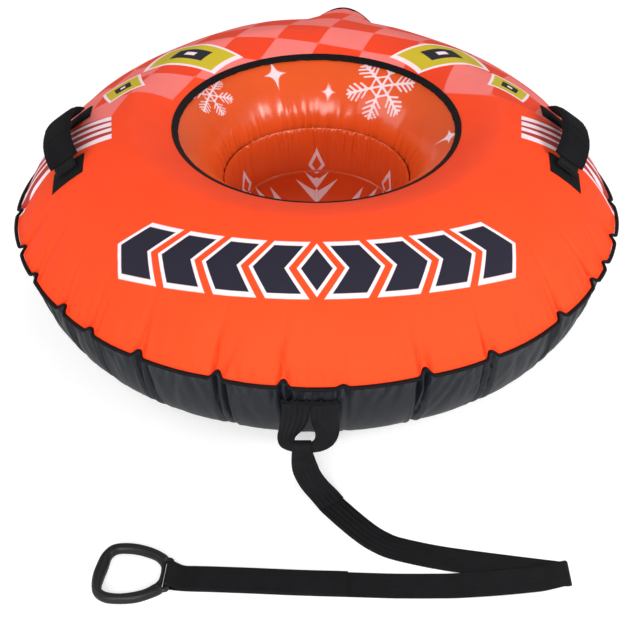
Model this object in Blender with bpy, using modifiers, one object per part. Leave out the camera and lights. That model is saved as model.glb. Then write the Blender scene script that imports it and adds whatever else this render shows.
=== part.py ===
"""Snow tube: an inflatable ring in a sewn cover, with carrying handles and a tow strap.

Metres, +Z up. The origin is the middle of the underside, the tow side faces -Y.
"""
import math

import bmesh
import bpy
import numpy as np
from mathutils import Matrix, Vector

for leftover in list(bpy.data.objects):
    bpy.data.objects.remove(leftover, do_unlink=True)

# Overall sizes
TUBE_DIAMETER = 1.0
TUBE_HEIGHT = 0.306
SEAM_HEIGHT = 0.151
CREST_RADIUS = 0.302
BASE_RADIUS = 0.400
RIM_RADIUS = 0.236
WAIST_RADIUS = 0.157
WAIST_HEIGHT = 0.181
FLOOR_RADIUS = 0.177
FLOOR_HEIGHT = 0.080
FLOOR_SAG = 0.008
HEEL_RADIUS = 0.235
HEEL_HEIGHT = 0.010

# Sheets, seams and clearances
COVER_THICKNESS = 0.0010
TUBE_WALL = 0.0008
FLOOR_THICKNESS = 0.0008
BINDING_THICKNESS = 0.0010
BINDING_WIDTH = 0.008
PIPING_DIAMETER = 0.005
SEAM_ALLOWANCE = 0.006
NOTCH_DEPTH = 0.011
PLEAT_DEPTH = 0.003
GAP = 0.0003
TUBE_GAP = 0.0009

# Shape exponents of the stuffed section, and points along it as shares of each arc
UPPER_POWER = 1.45
INNER_POWER = 1.65
LOWER_POWER = 2.0
UPPER_SHARES = (0.92, 0.68, 0.35)
LOWER_SHARES = (0.95, 0.80, 0.52)
INNER_SHARES = (0.62, 0.87)
SAG_SHARES = ((0.55, 0.75),)
COLUMNS_PER_LOBE = 3
TUBE_COLUMNS = 56
PIPING_SIDES = 6
SCREW_MERGE = 0.00001

# Directions of the gathers on the tow side, in degrees from +X, mirrored on the far side
NOTCH_DEGREES = (-172, -158, -144, -131, -121, -107, -96, -85.5, -72, -60, -44, -31, -19, -7)

# Inflation valve on the ring's inner shoulder, on the tow side
VALVE_DEGREES = -90.0
VALVE_FLANGE_RADIUS = 0.014
VALVE_FLANGE_THICKNESS = 0.0015
VALVE_NECK_RADIUS = 0.0065
VALVE_NECK_LENGTH = 0.014
VALVE_BORE_RADIUS = 0.0040
PLUG_CAP_RADIUS = 0.0085
PLUG_CAP_THICKNESS = 0.0025
PLUG_STEM_LENGTH = 0.010
TURNED_STEPS = 20

# Carrying handles
WEBBING_WIDTH = 0.040
WEBBING_THICKNESS = 0.0020
HANDLE_INSET = 0.0977
HANDLE_DEGREES = 3.9
TAB_WIDTH = 0.058
TAB_THICKNESS = 0.0020
TAB_END = 0.107
TAB_BEND = 0.080
TAB_SEAT_GAP = 0.0005
TAB_SHARES = (-0.5, -0.25, 0.0, 0.25, 0.5)
SLEEVE_HALF_LENGTH = 0.070
SLEEVE_WIDTH = 0.056
SLEEVE_THICKNESS = 0.009
SLEEVE_END_THICKNESS = 0.005
SLEEVE_STEPS = 10
WEBBING_END = 0.074
HANDLE_PIVOT_HEIGHT = 0.0095
HANDLE_RISE = 0.0175
ARCH_POWER = 1.25
SLEEVE_WIDTH_POWER = 0.5
SLEEVE_HEIGHT_POWER = 0.8

# Tow loop: middle, lean of its width in degrees, width and thickness, down one leg and up the other
LOOP_STATIONS = (
    (-0.0313, -0.4868, 0.117, 0, 0.040, 0.0020),
    (-0.0318, -0.4925, 0.106, 0, 0.040, 0.0020),
    (-0.0335, -0.4995, 0.0945, 4, 0.039, 0.0022),
    (-0.0405, -0.5060, 0.080, 14, 0.038, 0.0024),
    (-0.0430, -0.5110, 0.070, 26, 0.036, 0.0030),
    (-0.0395, -0.5150, 0.063, 48, 0.029, 0.0042),
    (-0.0310, -0.5180, 0.058, 80, 0.0135, 0.0062),
    (-0.0165, -0.5180, 0.058, 90, 0.011, 0.0070),
    (-0.0020, -0.5180, 0.058, 100, 0.0135, 0.0062),
    (0.0055, -0.5150, 0.063, 132, 0.029, 0.0042),
    (0.0075, -0.5110, 0.070, 154, 0.036, 0.0030),
    (0.0100, -0.5060, 0.080, 166, 0.038, 0.0024),
    (0.0108, -0.4995, 0.0945, 176, 0.039, 0.0022),
    (0.0115, -0.4925, 0.106, 180, 0.040, 0.0020),
    (0.0113, -0.4868, 0.117, 180, 0.040, 0.0020),
)

# Tow strap's eye round the loop
EYE_CENTRE = (-0.0165, -0.518, 0.058)
EYE_RADIUS = 0.0085
EYE_WIDTH = 0.020
EYE_FIRST_DEGREES = 186
EYE_LAST_DEGREES = -41
EYE_STEPS = 10

# Tow strap's route on the ground: x, y, z, heading of its width in degrees and width
STRAP_ROUTE = (
    (-0.0160, -0.5265, 0.0355, 2, 0.024),
    (-0.0125, -0.5365, 0.0245, 8, 0.030),
    (-0.0030, -0.5485, 0.0130, 18, 0.037),
    (0.0100, -0.5630, 0.0050, 30, 0.040),
    (0.0210, -0.5770, 0.0018, 37, 0.040),
    (0.0310, -0.5885, 0.0012, 40, 0.040),
    (0.0420, -0.6015, 0.0012, 42, 0.040),
    (0.0580, -0.6190, 0.0012, 45, 0.040),
    (0.0740, -0.6345, 0.0012, 51, 0.040),
    (0.0900, -0.6460, 0.0012, 60, 0.040),
    (0.1060, -0.6540, 0.0012, 67, 0.040),
    (0.1390, -0.6640, 0.0012, 74, 0.040),
    (0.1700, -0.6715, 0.0012, 78, 0.040),
    (0.2025, -0.6775, 0.0012, 80, 0.040),
    (0.2500, -0.6855, 0.0012, 81, 0.040),
    (0.3000, -0.6935, 0.0012, 83, 0.040),
    (0.3240, -0.6972, 0.0012, 86, 0.040),
    (0.3305, -0.6985, 0.0012, 88, 0.040),
    (0.3342, -0.6993, 0.0026, 89, 0.040),
    (0.3352, -0.7000, 0.0048, 90, 0.040),
    (0.3342, -0.7007, 0.0068, 91, 0.040),
    (0.3305, -0.7015, 0.0079, 92, 0.040),
    (0.3220, -0.7035, 0.0073, 93, 0.040),
    (0.3080, -0.7060, 0.0054, 94, 0.040),
    (0.2900, -0.7090, 0.0040, 95, 0.040),
    (0.2440, -0.7140, 0.0036, 95, 0.040),
    (0.2080, -0.7170, 0.0036, 93, 0.040),
    (0.1800, -0.7175, 0.0020, 91, 0.040),
    (0.1620, -0.7172, 0.0012, 90, 0.040),
    (0.1040, -0.7170, 0.0012, 89, 0.040),
    (0.0400, -0.7145, 0.0012, 88, 0.040),
    (-0.0240, -0.7120, 0.0012, 87, 0.040),
    (-0.0880, -0.7085, 0.0012, 86, 0.040),
    (-0.1400, -0.7060, 0.0012, 86, 0.040),
)
LOOP_TAIL_POINTS = 5
HANDLE_TAIL_POINTS = 4
HANDLE_EYE_RADIUS = 0.0050
HANDLE_EYE_FIRST_DEGREES = -100
HANDLE_EYE_LAST_DEGREES = 125
THROAT = 0.016

# Tow handle: pairs of outer and inner points from the bar's middle, with the height there
BAR_MIDDLE = (-0.1968, -0.7030, 0.0078)
HANDLE_HEADING = 175.98
HANDLE_SIDES = 10
HANDLE_SECTION_POWER = 0.8
BAR_RADIUS = 0.0035
BAR_HALF_LENGTH = 0.0245
EAR_REACH = 0.012
HANDLE_OUTLINE = (
    ((0.0068, 0.0), (0.0116, 0.0), 0.009),
    ((0.0068, -0.011), (0.0126, -0.0105), 0.009),
    ((0.0069, -0.019), (0.016, -0.017), 0.0105),
    ((0.0050, -0.027), (0.0195, -0.021), 0.015),
    ((0.018, -0.036), (0.025, -0.025), 0.015),
    ((0.033, -0.042), (0.037, -0.0295), 0.015),
    ((0.0485, -0.0455), (0.052, -0.033), 0.015),
    ((0.063, -0.0465), (0.066, -0.0335), 0.015),
    ((0.078, -0.0445), (0.075, -0.032), 0.015),
    ((0.088, -0.039), (0.0805, -0.027), 0.015),
    ((0.096, -0.026), (0.0825, -0.020), 0.015),
    ((0.0995, -0.009), (0.083, -0.006), 0.015),
    ((0.101, 0.008), (0.0848, 0.008), 0.015),
    ((0.099, 0.025), (0.086, 0.022), 0.015),
    ((0.095, 0.036), (0.0845, 0.0295), 0.015),
    ((0.087, 0.0435), (0.0795, 0.034), 0.015),
    ((0.075, 0.048), (0.071, 0.0363), 0.015),
    ((0.057, 0.048), (0.057, 0.0365), 0.015),
    ((0.037, 0.045), (0.040, 0.0325), 0.015),
    ((0.020, 0.0375), (0.028, 0.0275), 0.015),
    ((0.0050, 0.0275), (0.0195, 0.0205), 0.015),
    ((0.0069, 0.019), (0.016, 0.017), 0.0105),
    ((0.0068, 0.011), (0.0126, 0.0105), 0.009),
)

# Colours, as linear values
ORANGE = (0.98, 0.065, 0.018)
SLATE = (0.038, 0.043, 0.053)
VINYL = (0.82, 0.085, 0.010)
BLACK = (0.008, 0.008, 0.009)
SMOKE = (0.35, 0.37, 0.40)


def material(name, colour, roughness, metallic=0.0):
    """Makes one Principled material."""
    made = bpy.data.materials.new(name)
    made.use_nodes = True
    shader = made.node_tree.nodes["Principled BSDF"]
    shader.inputs["Base Color"].default_value = (*colour, 1.0)
    shader.inputs["Roughness"].default_value = roughness
    shader.inputs["Metallic"].default_value = metallic
    return made


def collection(name):
    """Makes a collection in the scene."""
    made = bpy.data.collections.new(name)
    bpy.context.scene.collection.children.link(made)
    return made


PARTS = collection("snow_tube")
CUTTERS = collection("cutters")
MATERIALS = {
    "printed_polyester": material("printed_polyester", ORANGE, 0.65),
    "coated_fabric": material("coated_fabric", SLATE, 0.40),
    "orange_vinyl": material("orange_vinyl", VINYL, 0.25),
    "black_webbing": material("black_webbing", BLACK, 0.75),
    "black_binding": material("black_binding", BLACK, 0.70),
    "padded_fabric": material("padded_fabric", BLACK, 0.80),
    "black_plastic": material("black_plastic", BLACK, 0.35),
    "clear_vinyl": material("clear_vinyl", SMOKE, 0.30),
}


def add_object(name, mesh, finish, smooth_degrees=40.0):
    """Puts a mesh into the part's collection under its name, with its finish."""
    made = bpy.data.objects.new(name, mesh)
    PARTS.objects.link(made)
    mesh.materials.append(MATERIALS[finish])
    mesh.shade_smooth()
    mesh.set_sharp_from_angle(angle=math.radians(smooth_degrees))
    return made


def mesh_from(name, points, faces):
    """Makes a mesh from points and faces, with its faces turned outwards."""
    mesh = bpy.data.meshes.new(name)
    mesh.from_pydata([tuple(point) for point in points], [], faces)
    shape = bmesh.new()
    shape.from_mesh(mesh)
    bmesh.ops.recalc_face_normals(shape, faces=shape.faces)
    if shape.calc_volume(signed=True) < 0:
        bmesh.ops.reverse_faces(shape, faces=shape.faces)
    shape.to_mesh(mesh)
    shape.free()
    return mesh


def loft(name, rings, finish, round_trip=False, smooth_degrees=40.0):
    """Joins rings of equal point count into one closed body, capped unless it runs round."""
    count = len(rings[0])
    points = [point for ring in rings for point in ring]
    faces = []
    steps = len(rings) if round_trip else len(rings) - 1
    for i in range(steps):
        here, there = i * count, (i + 1) % len(rings) * count
        for j in range(count):
            k = (j + 1) % count
            faces.append((here + j, here + k, there + k, there + j))
    if not round_trip:
        faces.append(tuple(range(count)))
        faces.append(tuple(range(len(points) - count, len(points))))
    return add_object(name, mesh_from(name, points, faces), finish, smooth_degrees)


def hang(piece, pivot):
    """Moves a piece's origin to a point of its joint's axis and leaves the piece where it is."""
    piece.data.transform(Matrix.Translation(-pivot))
    piece.location = pivot
    return piece


def turn(section, angle):
    """Stands a section of radius and height pairs up at an angle round the middle."""
    return [(r * math.cos(angle), r * math.sin(angle), z) for r, z in section]


def offset(profile, distance):
    """Moves an open profile sideways, to the left of its direction, with mitred corners."""
    line = np.array(profile, float)
    run = np.diff(line, axis=0)
    run /= np.linalg.norm(run, axis=1)[:, None]
    side = np.stack([-run[:, 1], run[:, 0]], axis=1)
    moved = line.copy()
    moved[0] += distance * side[0]
    moved[-1] += distance * side[-1]
    for i in range(1, len(line) - 1):
        middle = side[i - 1] + side[i]
        moved[i] += middle * distance * 2.0 / (middle @ middle)
    return [tuple(point) for point in moved]


def bulge(share, power):
    """Height share of a superellipse quarter at a share of its half width."""
    return (1.0 - share ** power) ** (1.0 / power)


# Lobed seam
SEAM_RADIUS = TUBE_DIAMETER / 2 - PIPING_DIAMETER - GAP
LAP_RADIUS = SEAM_RADIUS - SEAM_ALLOWANCE
HANDLE_RADIUS = SEAM_RADIUS - HANDLE_INSET


def lobe_columns():
    """Angles of the columns round the tube, and how far each is drawn in by its gather."""
    front = [math.radians(degrees) for degrees in NOTCH_DEGREES]
    notches = front + [-angle for angle in reversed(front)]
    columns = []
    for i, start in enumerate(notches):
        end = notches[i + 1] if i + 1 < len(notches) else notches[0] + 2.0 * math.pi
        for step in range(COLUMNS_PER_LOBE):
            share = step / COLUMNS_PER_LOBE
            drawn_in = NOTCH_DEPTH if step == 0 else 0.0
            columns.append((start + share * (end - start), SEAM_RADIUS - drawn_in))
    return columns


COLUMNS = lobe_columns()


def upper_profile(seam_radius):
    """Outer face of the top cover from the seam allowance up over the crest to the rim."""
    lap = seam_radius - SEAM_ALLOWANCE
    level = SEAM_HEIGHT + GAP / 2 + COVER_THICKNESS
    rise = TUBE_HEIGHT - level
    profile = [(seam_radius, level), (lap, level)]
    for share in UPPER_SHARES:
        radius = CREST_RADIUS + (lap - CREST_RADIUS) * share
        profile.append((radius, level + rise * bulge(share, UPPER_POWER)))
    profile.append((CREST_RADIUS, TUBE_HEIGHT))
    profile.append((RIM_RADIUS, inner_height(RIM_RADIUS)))
    return profile


def inner_height(radius):
    """Height of the ring's inner shoulder at a radius between the waist and the crest."""
    share = (CREST_RADIUS - radius) / (CREST_RADIUS - WAIST_RADIUS)
    return WAIST_HEIGHT + (TUBE_HEIGHT - WAIST_HEIGHT) * bulge(share, INNER_POWER)


def lower_profile(seam_radius):
    """Outer face of the bottom cover from the seam allowance down to the flat base."""
    lap = seam_radius - SEAM_ALLOWANCE
    level = SEAM_HEIGHT - GAP / 2 - COVER_THICKNESS
    profile = [(seam_radius, level), (lap, level)]
    for share in LOWER_SHARES:
        radius = BASE_RADIUS + (lap - BASE_RADIUS) * share
        profile.append((radius, level * (1.0 - bulge(share, LOWER_POWER))))
    profile.append((BASE_RADIUS, 0.0))
    return profile


def build_top_cover():
    """Lobed ring of printed fabric, open at the rim, sewn at the seam."""
    rings = []
    for angle, seam_radius in COLUMNS:
        outer = upper_profile(seam_radius)
        inner = offset(outer, COVER_THICKNESS)
        rings.append(turn(outer + inner[::-1], angle))
    return loft("top_cover", rings, "printed_polyester", round_trip=True)


def dish(name, outer_rings, inner_rings, under_middle, over_middle, finish):
    """Joins outer and inner rings, each listed from the edge inwards, into a closed dish."""
    count = len(outer_rings[0])
    columns = len(outer_rings)
    points = [point for ring in outer_rings + inner_rings for point in ring]
    inside = columns * count
    under, over = len(points), len(points) + 1
    points += [under_middle, over_middle]
    faces = []
    for i in range(columns):
        here, there = i * count, (i + 1) % columns * count
        for j in range(count - 1):
            k = j + 1
            faces.append((here + j, here + k, there + k, there + j))
            faces.append((inside + here + j, inside + there + j, inside + there + k, inside + here + k))
        faces.append((here, there, inside + there, inside + here))
        faces.append((here + count - 1, there + count - 1, under))
        faces.append((inside + here + count - 1, over, inside + there + count - 1))
    return add_object(name, mesh_from(name, points, faces), finish)


def build_bottom_cover():
    """Lobed shell of coated fabric with a flat round base."""
    outer_rings, inner_rings = [], []
    for angle, seam_radius in COLUMNS:
        outer = lower_profile(seam_radius)
        outer_rings.append(turn(outer, angle))
        inner_rings.append(turn(offset(outer, -COVER_THICKNESS), angle))
    under, over = (0.0, 0.0, 0.0), (0.0, 0.0, COVER_THICKNESS)
    return dish("bottom_cover", outer_rings, inner_rings, under, over, "coated_fabric")


def build_seam_piping():
    """Welt cord that follows the lobed seam just outside the covers' edges."""
    rings = []
    for angle, seam_radius in COLUMNS:
        middle = seam_radius + GAP + PIPING_DIAMETER / 2
        ring = []
        for side in range(PIPING_SIDES):
            turned = 2.0 * math.pi * side / PIPING_SIDES
            ring.append((middle + PIPING_DIAMETER / 2 * math.cos(turned),
                         SEAM_HEIGHT + PIPING_DIAMETER / 2 * math.sin(turned)))
        rings.append(turn(ring, angle))
    return loft("seam_piping", rings, "black_binding", round_trip=True)


def build_rim_binding():
    """Tape folded over the top cover's inner edge, a U in section."""
    edge = np.array((RIM_RADIUS, inner_height(RIM_RADIUS)))
    along = edge - np.array((CREST_RADIUS, TUBE_HEIGHT))
    along /= np.linalg.norm(along)
    up = np.array((along[1], -along[0]))
    near, far = GAP, GAP + BINDING_THICKNESS
    under, deep = -COVER_THICKNESS - GAP, -COVER_THICKNESS - GAP - BINDING_THICKNESS
    back = -BINDING_WIDTH
    corners = ((back, far), (far, far), (far, deep), (back, deep),
               (back, under), (near, under), (near, near), (back, near))
    section = [tuple(edge + along * a + up * b) for a, b in corners]
    rings = [turn(section, angle) for angle, _ in COLUMNS]
    return loft("rim_binding", rings, "black_binding", round_trip=True)


def tube_columns():
    """Evenly spaced angles of the inflatable's columns, with a flat column at the valve."""
    return [2.0 * math.pi * (i + 0.5) / TUBE_COLUMNS for i in range(TUBE_COLUMNS)]


def tube_section():
    """Outer face of the inflatable ring, from the seam over the crest, waist and base."""
    drawn_in = SEAM_RADIUS - NOTCH_DEPTH
    reach = COVER_THICKNESS + TUBE_GAP
    upper = offset(upper_profile(drawn_in), reach)[2:-1]
    edge = np.array((RIM_RADIUS, inner_height(RIM_RADIUS)))
    under_binding = COVER_THICKNESS + BINDING_THICKNESS + 2 * GAP + TUBE_GAP
    shoulder = [tuple(edge - np.array((0.0, under_binding)))]
    for share in INNER_SHARES:
        radius = CREST_RADIUS + (WAIST_RADIUS - CREST_RADIUS) * share
        shoulder.append((radius, inner_height(radius)))
    waist = [(WAIST_RADIUS, WAIST_HEIGHT)]
    lower_wall = [(FLOOR_RADIUS, FLOOR_HEIGHT), (HEEL_RADIUS, HEEL_HEIGHT)]
    lower = offset(lower_profile(drawn_in), -reach)[2:]
    return upper + shoulder + waist + lower_wall + lower[::-1]


def closed_ring(rings):
    """Points and faces of a ring of equal sections that runs right round."""
    count = len(rings[0])
    points = [point for ring in rings for point in ring]
    faces = []
    for i in range(len(rings)):
        here, there = i * count, (i + 1) % len(rings) * count
        for j in range(count):
            k = (j + 1) % count
            faces.append((here + j, here + k, there + k, there + j))
    return points, faces


def valve_place():
    """Middle and outward direction of the valve on the ring's inner shoulder."""
    section = tube_section()
    start = len(UPPER_SHARES) + 2
    low, high = np.array(section[start + 1]), np.array(section[start])
    middle = (low + high) / 2
    along = (high - low) / np.linalg.norm(high - low)
    inward = np.array((-along[1], along[0]))
    angle = math.radians(VALVE_DEGREES)
    flat = math.cos(math.pi / TUBE_COLUMNS)
    place = Vector((middle[0] * flat * math.cos(angle), middle[0] * flat * math.sin(angle), middle[1]))
    return place, Vector((inward[0] * math.cos(angle), inward[0] * math.sin(angle), inward[1])).normalized()


def aim(thing, place, direction):
    """Moves a turned piece to its place with its own Z along a direction."""
    thing.location = place
    thing.rotation_mode = "QUATERNION"
    thing.rotation_quaternion = direction.to_track_quat("Z", "Y")


def turned(name, profile, finish):
    """Turns a closed profile of radius and height pairs round Z with a Screw modifier."""
    mesh = bpy.data.meshes.new(name)
    loop = [(i, (i + 1) % len(profile)) for i in range(len(profile))]
    mesh.from_pydata([(r, 0.0, z) for r, z in profile], loop, [])
    made = add_object(name, mesh, finish)
    screw = made.modifiers.new("turn", "SCREW")
    screw.axis = "Z"
    screw.steps = TURNED_STEPS
    screw.render_steps = TURNED_STEPS
    screw.use_merge_vertices = True
    screw.merge_threshold = SCREW_MERGE
    return made


def cutter_cylinder(name, radius, depth, place, direction):
    """Cylinder that only cuts, hidden from renders."""
    bpy.ops.mesh.primitive_cylinder_add(vertices=TURNED_STEPS, radius=radius, depth=depth)
    made = bpy.context.object
    made.name = name
    for holder in list(made.users_collection):
        holder.objects.unlink(made)
    CUTTERS.objects.link(made)
    aim(made, place, direction)
    made.hide_render = True
    made.display_type = "WIRE"
    return made


def build_air_tube():
    """Hollow inflatable ring, open only at the hole for its valve."""
    section = tube_section()
    hollow = offset(section + section[:1], TUBE_WALL)[:-1]
    first = np.array(offset([section[-1], section[0], section[1]], TUBE_WALL)[1])
    hollow[0] = tuple(first)
    outer_points, outer_faces = closed_ring([turn(section, angle) for angle in tube_columns()])
    inner_points, inner_faces = closed_ring([turn(hollow, angle) for angle in tube_columns()])
    shape = bmesh.new()
    shape.from_mesh(mesh_from("outer", outer_points, outer_faces))
    lining = bmesh.new()
    lining.from_mesh(mesh_from("lining", inner_points, inner_faces))
    bmesh.ops.reverse_faces(lining, faces=lining.faces)
    lining_mesh = bpy.data.meshes.new("lining")
    lining.to_mesh(lining_mesh)
    shape.from_mesh(lining_mesh)
    mesh = bpy.data.meshes.new("air_tube")
    shape.to_mesh(mesh)
    shape.free()
    lining.free()
    tube = add_object("air_tube", mesh, "orange_vinyl")
    place, direction = valve_place()
    hole = cutter_cylinder("valve_hole", VALVE_NECK_RADIUS + GAP, VALVE_NECK_LENGTH, place, direction)
    cut = tube.modifiers.new("valve_hole", "BOOLEAN")
    cut.operation = "DIFFERENCE"
    cut.object = hole
    return tube


def build_valve():
    """Soft valve body in the tube's wall, and the stopper that pulls out of it."""
    place, direction = valve_place()
    neck = -VALVE_NECK_LENGTH
    top = VALVE_FLANGE_THICKNESS
    base = turned("valve_base", (
        (VALVE_BORE_RADIUS, top), (VALVE_FLANGE_RADIUS, top), (VALVE_FLANGE_RADIUS, 0.0),
        (VALVE_NECK_RADIUS, 0.0), (VALVE_NECK_RADIUS, neck), (VALVE_BORE_RADIUS, neck)), "clear_vinyl")
    aim(base, place + direction * TUBE_GAP, direction)
    stem = VALVE_BORE_RADIUS - GAP
    cap = top + GAP
    plug = turned("valve_plug", (
        (0.0, cap + PLUG_CAP_THICKNESS), (PLUG_CAP_RADIUS, cap + PLUG_CAP_THICKNESS),
        (PLUG_CAP_RADIUS, cap), (stem, cap),
        (stem, cap - PLUG_STEM_LENGTH), (0.0, cap - PLUG_STEM_LENGTH)), "clear_vinyl")
    aim(plug, place + direction * TUBE_GAP, direction)


def build_seat_floor():
    """Floor sheet: pleated below the waist weld, then a shallow round dish."""
    outer_rings, inner_rings = [], []
    knee = ((WAIST_RADIUS + FLOOR_RADIUS) / 2, (WAIST_HEIGHT + FLOOR_HEIGHT) / 2)
    for i, angle in enumerate(tube_columns()):
        pleat = PLEAT_DEPTH * (i % 2)
        wall = [(WAIST_RADIUS - GAP, WAIST_HEIGHT), (knee[0] - GAP - pleat, knee[1])]
        wall.append((FLOOR_RADIUS - GAP, FLOOR_HEIGHT))
        for radius_share, sag_share in SAG_SHARES:
            wall.append((FLOOR_RADIUS * radius_share, FLOOR_HEIGHT - FLOOR_SAG * sag_share))
        outer_rings.append(turn(wall, angle))
        inner_rings.append(turn(offset(wall, -FLOOR_THICKNESS), angle))
    low = FLOOR_HEIGHT - FLOOR_SAG
    under, over = (0.0, 0.0, low), (0.0, 0.0, low + FLOOR_THICKNESS)
    return dish("seat_floor", outer_rings, inner_rings, under, over, "orange_vinyl")


# Carrying handles
def cover_height(radius):
    """Height of the top cover's smooth outer face at a radius."""
    if radius < CREST_RADIUS:
        return inner_height(radius)
    level = SEAM_HEIGHT + GAP / 2 + COVER_THICKNESS
    share = (radius - CREST_RADIUS) / (LAP_RADIUS - CREST_RADIUS)
    return level + (TUBE_HEIGHT - level) * bulge(share, UPPER_POWER)


def handle_frame(side):
    """Seat, tangent, down-slope and normal directions of one handle, side -1 left or +1 right."""
    turned_by = math.radians(-HANDLE_DEGREES if side > 0 else 180.0 + HANDLE_DEGREES)
    outward = Vector((math.cos(turned_by), math.sin(turned_by), 0.0))
    tangent = Vector((0.0, 0.0, 1.0)).cross(outward) * side
    seat = outward * HANDLE_RADIUS + Vector((0.0, 0.0, cover_height(HANDLE_RADIUS)))
    slope = (cover_height(HANDLE_RADIUS + GAP) - cover_height(HANDLE_RADIUS - GAP)) / (2 * GAP)
    down = (outward + Vector((0.0, 0.0, slope))).normalized()
    normal = Vector((-outward.x * slope, -outward.y * slope, 1.0)).normalized()
    return seat, tangent, down, normal


def handle_pivot(side):
    """Middle of the line through the webbing's two ends, which the handle tips about."""
    seat, tangent, down, normal = handle_frame(side)
    return seat + normal * HANDLE_PIVOT_HEIGHT


def build_tab(name, side, end):
    """Flat fabric tab sewn to the cover, whose inner end rises to the handle's webbing."""
    seat, tangent, down, normal = handle_frame(side)
    pivot = handle_pivot(side)
    outward = Vector((seat.x, seat.y, 0.0)).normalized()
    along = (TAB_END, (TAB_END + TAB_BEND) / 2, TAB_BEND)
    rings = []
    for reach in along:
        under, over = [], []
        for share in TAB_SHARES:
            flat = seat + tangent * end * reach + outward * (down @ outward) * TAB_WIDTH * share
            height = cover_height(math.hypot(flat.x, flat.y)) + TAB_SEAT_GAP
            foot = Vector((flat.x, flat.y, height))
            under.append(foot)
            over.append(foot + normal * TAB_THICKNESS)
        rings.append(under + over[::-1])
    tip = pivot + tangent * end * (WEBBING_END + GAP)
    top = []
    for share in TAB_SHARES:
        top.append(tip + down * WEBBING_WIDTH * share - normal * TAB_THICKNESS / 2)
    rings.append(top + [point + normal * TAB_THICKNESS for point in reversed(top)])
    return loft(name, rings, "padded_fabric")


def arch_point(side, reach):
    """Middle, width direction and thickness direction of the handle's arch at a reach from its middle."""
    seat, tangent, down, normal = handle_frame(side)
    share = min(abs(reach) / SLEEVE_HALF_LENGTH, 1.0)
    height = HANDLE_RISE * (1.0 - share ** 2) ** ARCH_POWER
    slope = 0.0
    if share < 1.0:
        slope = -2.0 * ARCH_POWER * HANDLE_RISE * (1.0 - share ** 2) ** (ARCH_POWER - 1.0)
        slope *= reach / SLEEVE_HALF_LENGTH ** 2
    middle = seat + normal * (HANDLE_PIVOT_HEIGHT + height) + tangent * reach
    return middle, down, (normal - tangent * slope).normalized()


def build_sleeve(name, side):
    """Padded sleeve: an arched flat tube with a slot for the webbing."""
    wide, tall = WEBBING_WIDTH / 2 + GAP, WEBBING_THICKNESS / 2 + GAP
    slot = [(wide, 0.0), (wide, tall), (wide / 2, tall), (0.0, tall), (-wide / 2, tall), (-wide, tall)]
    slot += [(-u, -v) for u, v in slot]
    sides = len(slot)
    outer_rings, inner_rings = [], []
    for i in range(SLEEVE_STEPS + 1):
        lean = math.pi * i / SLEEVE_STEPS
        middle, down, normal = arch_point(side, -SLEEVE_HALF_LENGTH * math.cos(lean))
        thickness = SLEEVE_END_THICKNESS + (SLEEVE_THICKNESS - SLEEVE_END_THICKNESS) * math.sin(lean)
        outer = []
        for k in range(sides):
            turned_to = 2.0 * math.pi * k / sides
            u, v = math.cos(turned_to), math.sin(turned_to)
            u = math.copysign(abs(u) ** SLEEVE_WIDTH_POWER, u) * SLEEVE_WIDTH / 2
            v = math.copysign(abs(v) ** SLEEVE_HEIGHT_POWER, v) * thickness / 2
            outer.append(middle + down * u + normal * v)
        outer_rings.append(outer)
        inner_rings.append([middle + down * u + normal * v for u, v in slot])
    points = [point for ring in outer_rings + inner_rings for point in ring]
    inside = (SLEEVE_STEPS + 1) * sides
    faces = []
    for i in range(SLEEVE_STEPS):
        here, there = i * sides, (i + 1) * sides
        for j in range(sides):
            k = (j + 1) % sides
            faces.append((here + j, here + k, there + k, there + j))
            faces.append((inside + here + j, inside + there + j, inside + there + k, inside + here + k))
    for here in (0, SLEEVE_STEPS * sides):
        for j in range(sides):
            k = (j + 1) % sides
            faces.append((here + j, here + k, inside + here + k, inside + here + j))
    sleeve = add_object(name, mesh_from(name, points, faces), "padded_fabric")
    return hang(sleeve, handle_pivot(side))


def band_corners(middle, wide, tall):
    """Corners of a flat band's section from its half width and half thickness."""
    return [middle - wide - tall, middle + wide - tall, middle + wide + tall, middle - wide + tall]


def band_loft(name, stations, finish):
    """Lofts a flat band through stations, each a middle, a width and a thickness with their directions."""
    rings = []
    for middle, across, width, up, thickness in stations:
        wide, tall = across * width / 2, up * thickness / 2
        rings.append(band_corners(middle, wide, tall))
    return loft(name, rings, finish)


def build_handle_webbing(name, side):
    """Webbing that carries the load through the sleeve, from tab to tab."""
    inner = [-SLEEVE_HALF_LENGTH * math.cos(math.pi * i / SLEEVE_STEPS) for i in range(SLEEVE_STEPS + 1)]
    stations = []
    for reach in [-WEBBING_END] + inner + [WEBBING_END]:
        middle, down, normal = arch_point(side, reach)
        stations.append((middle, down, WEBBING_WIDTH, normal, WEBBING_THICKNESS))
    return hang(band_loft(name, stations, "black_webbing"), handle_pivot(side))


# Tow loop, tow strap and tow handle
def build_tow_loop():
    """Webbing loop: two flat legs from the sewn line, bunched together where the strap's eye runs."""
    stations = []
    for x, y, z, lean, width, thickness in LOOP_STATIONS:
        along = math.radians(lean)
        across = Vector((math.cos(along), 0.0, math.sin(along)))
        up = Vector((0.0, -1.0, 0.0))
        stations.append((Vector((x, y, z)), across, width, up, thickness))
    seam_line = (stations[0][0] + stations[-1][0]) / 2
    return hang(band_loft("tow_loop", stations, "black_webbing"), seam_line)


def route_frames(route):
    """Middle, level width direction, width and upward directions at each point of the strap's route."""
    places = [Vector(point[:3]) for point in route]
    frames = []
    for i, point in enumerate(route):
        run = (places[min(i + 1, len(places) - 1)] - places[max(i - 1, 0)]).normalized()
        heading = math.radians(point[3])
        across = Vector((math.cos(heading), math.sin(heading), 0.0))
        up = across.cross(run).normalized()
        frames.append((places[i], across, point[4], up, up if up.z > 0 else -up))
    return frames


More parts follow.
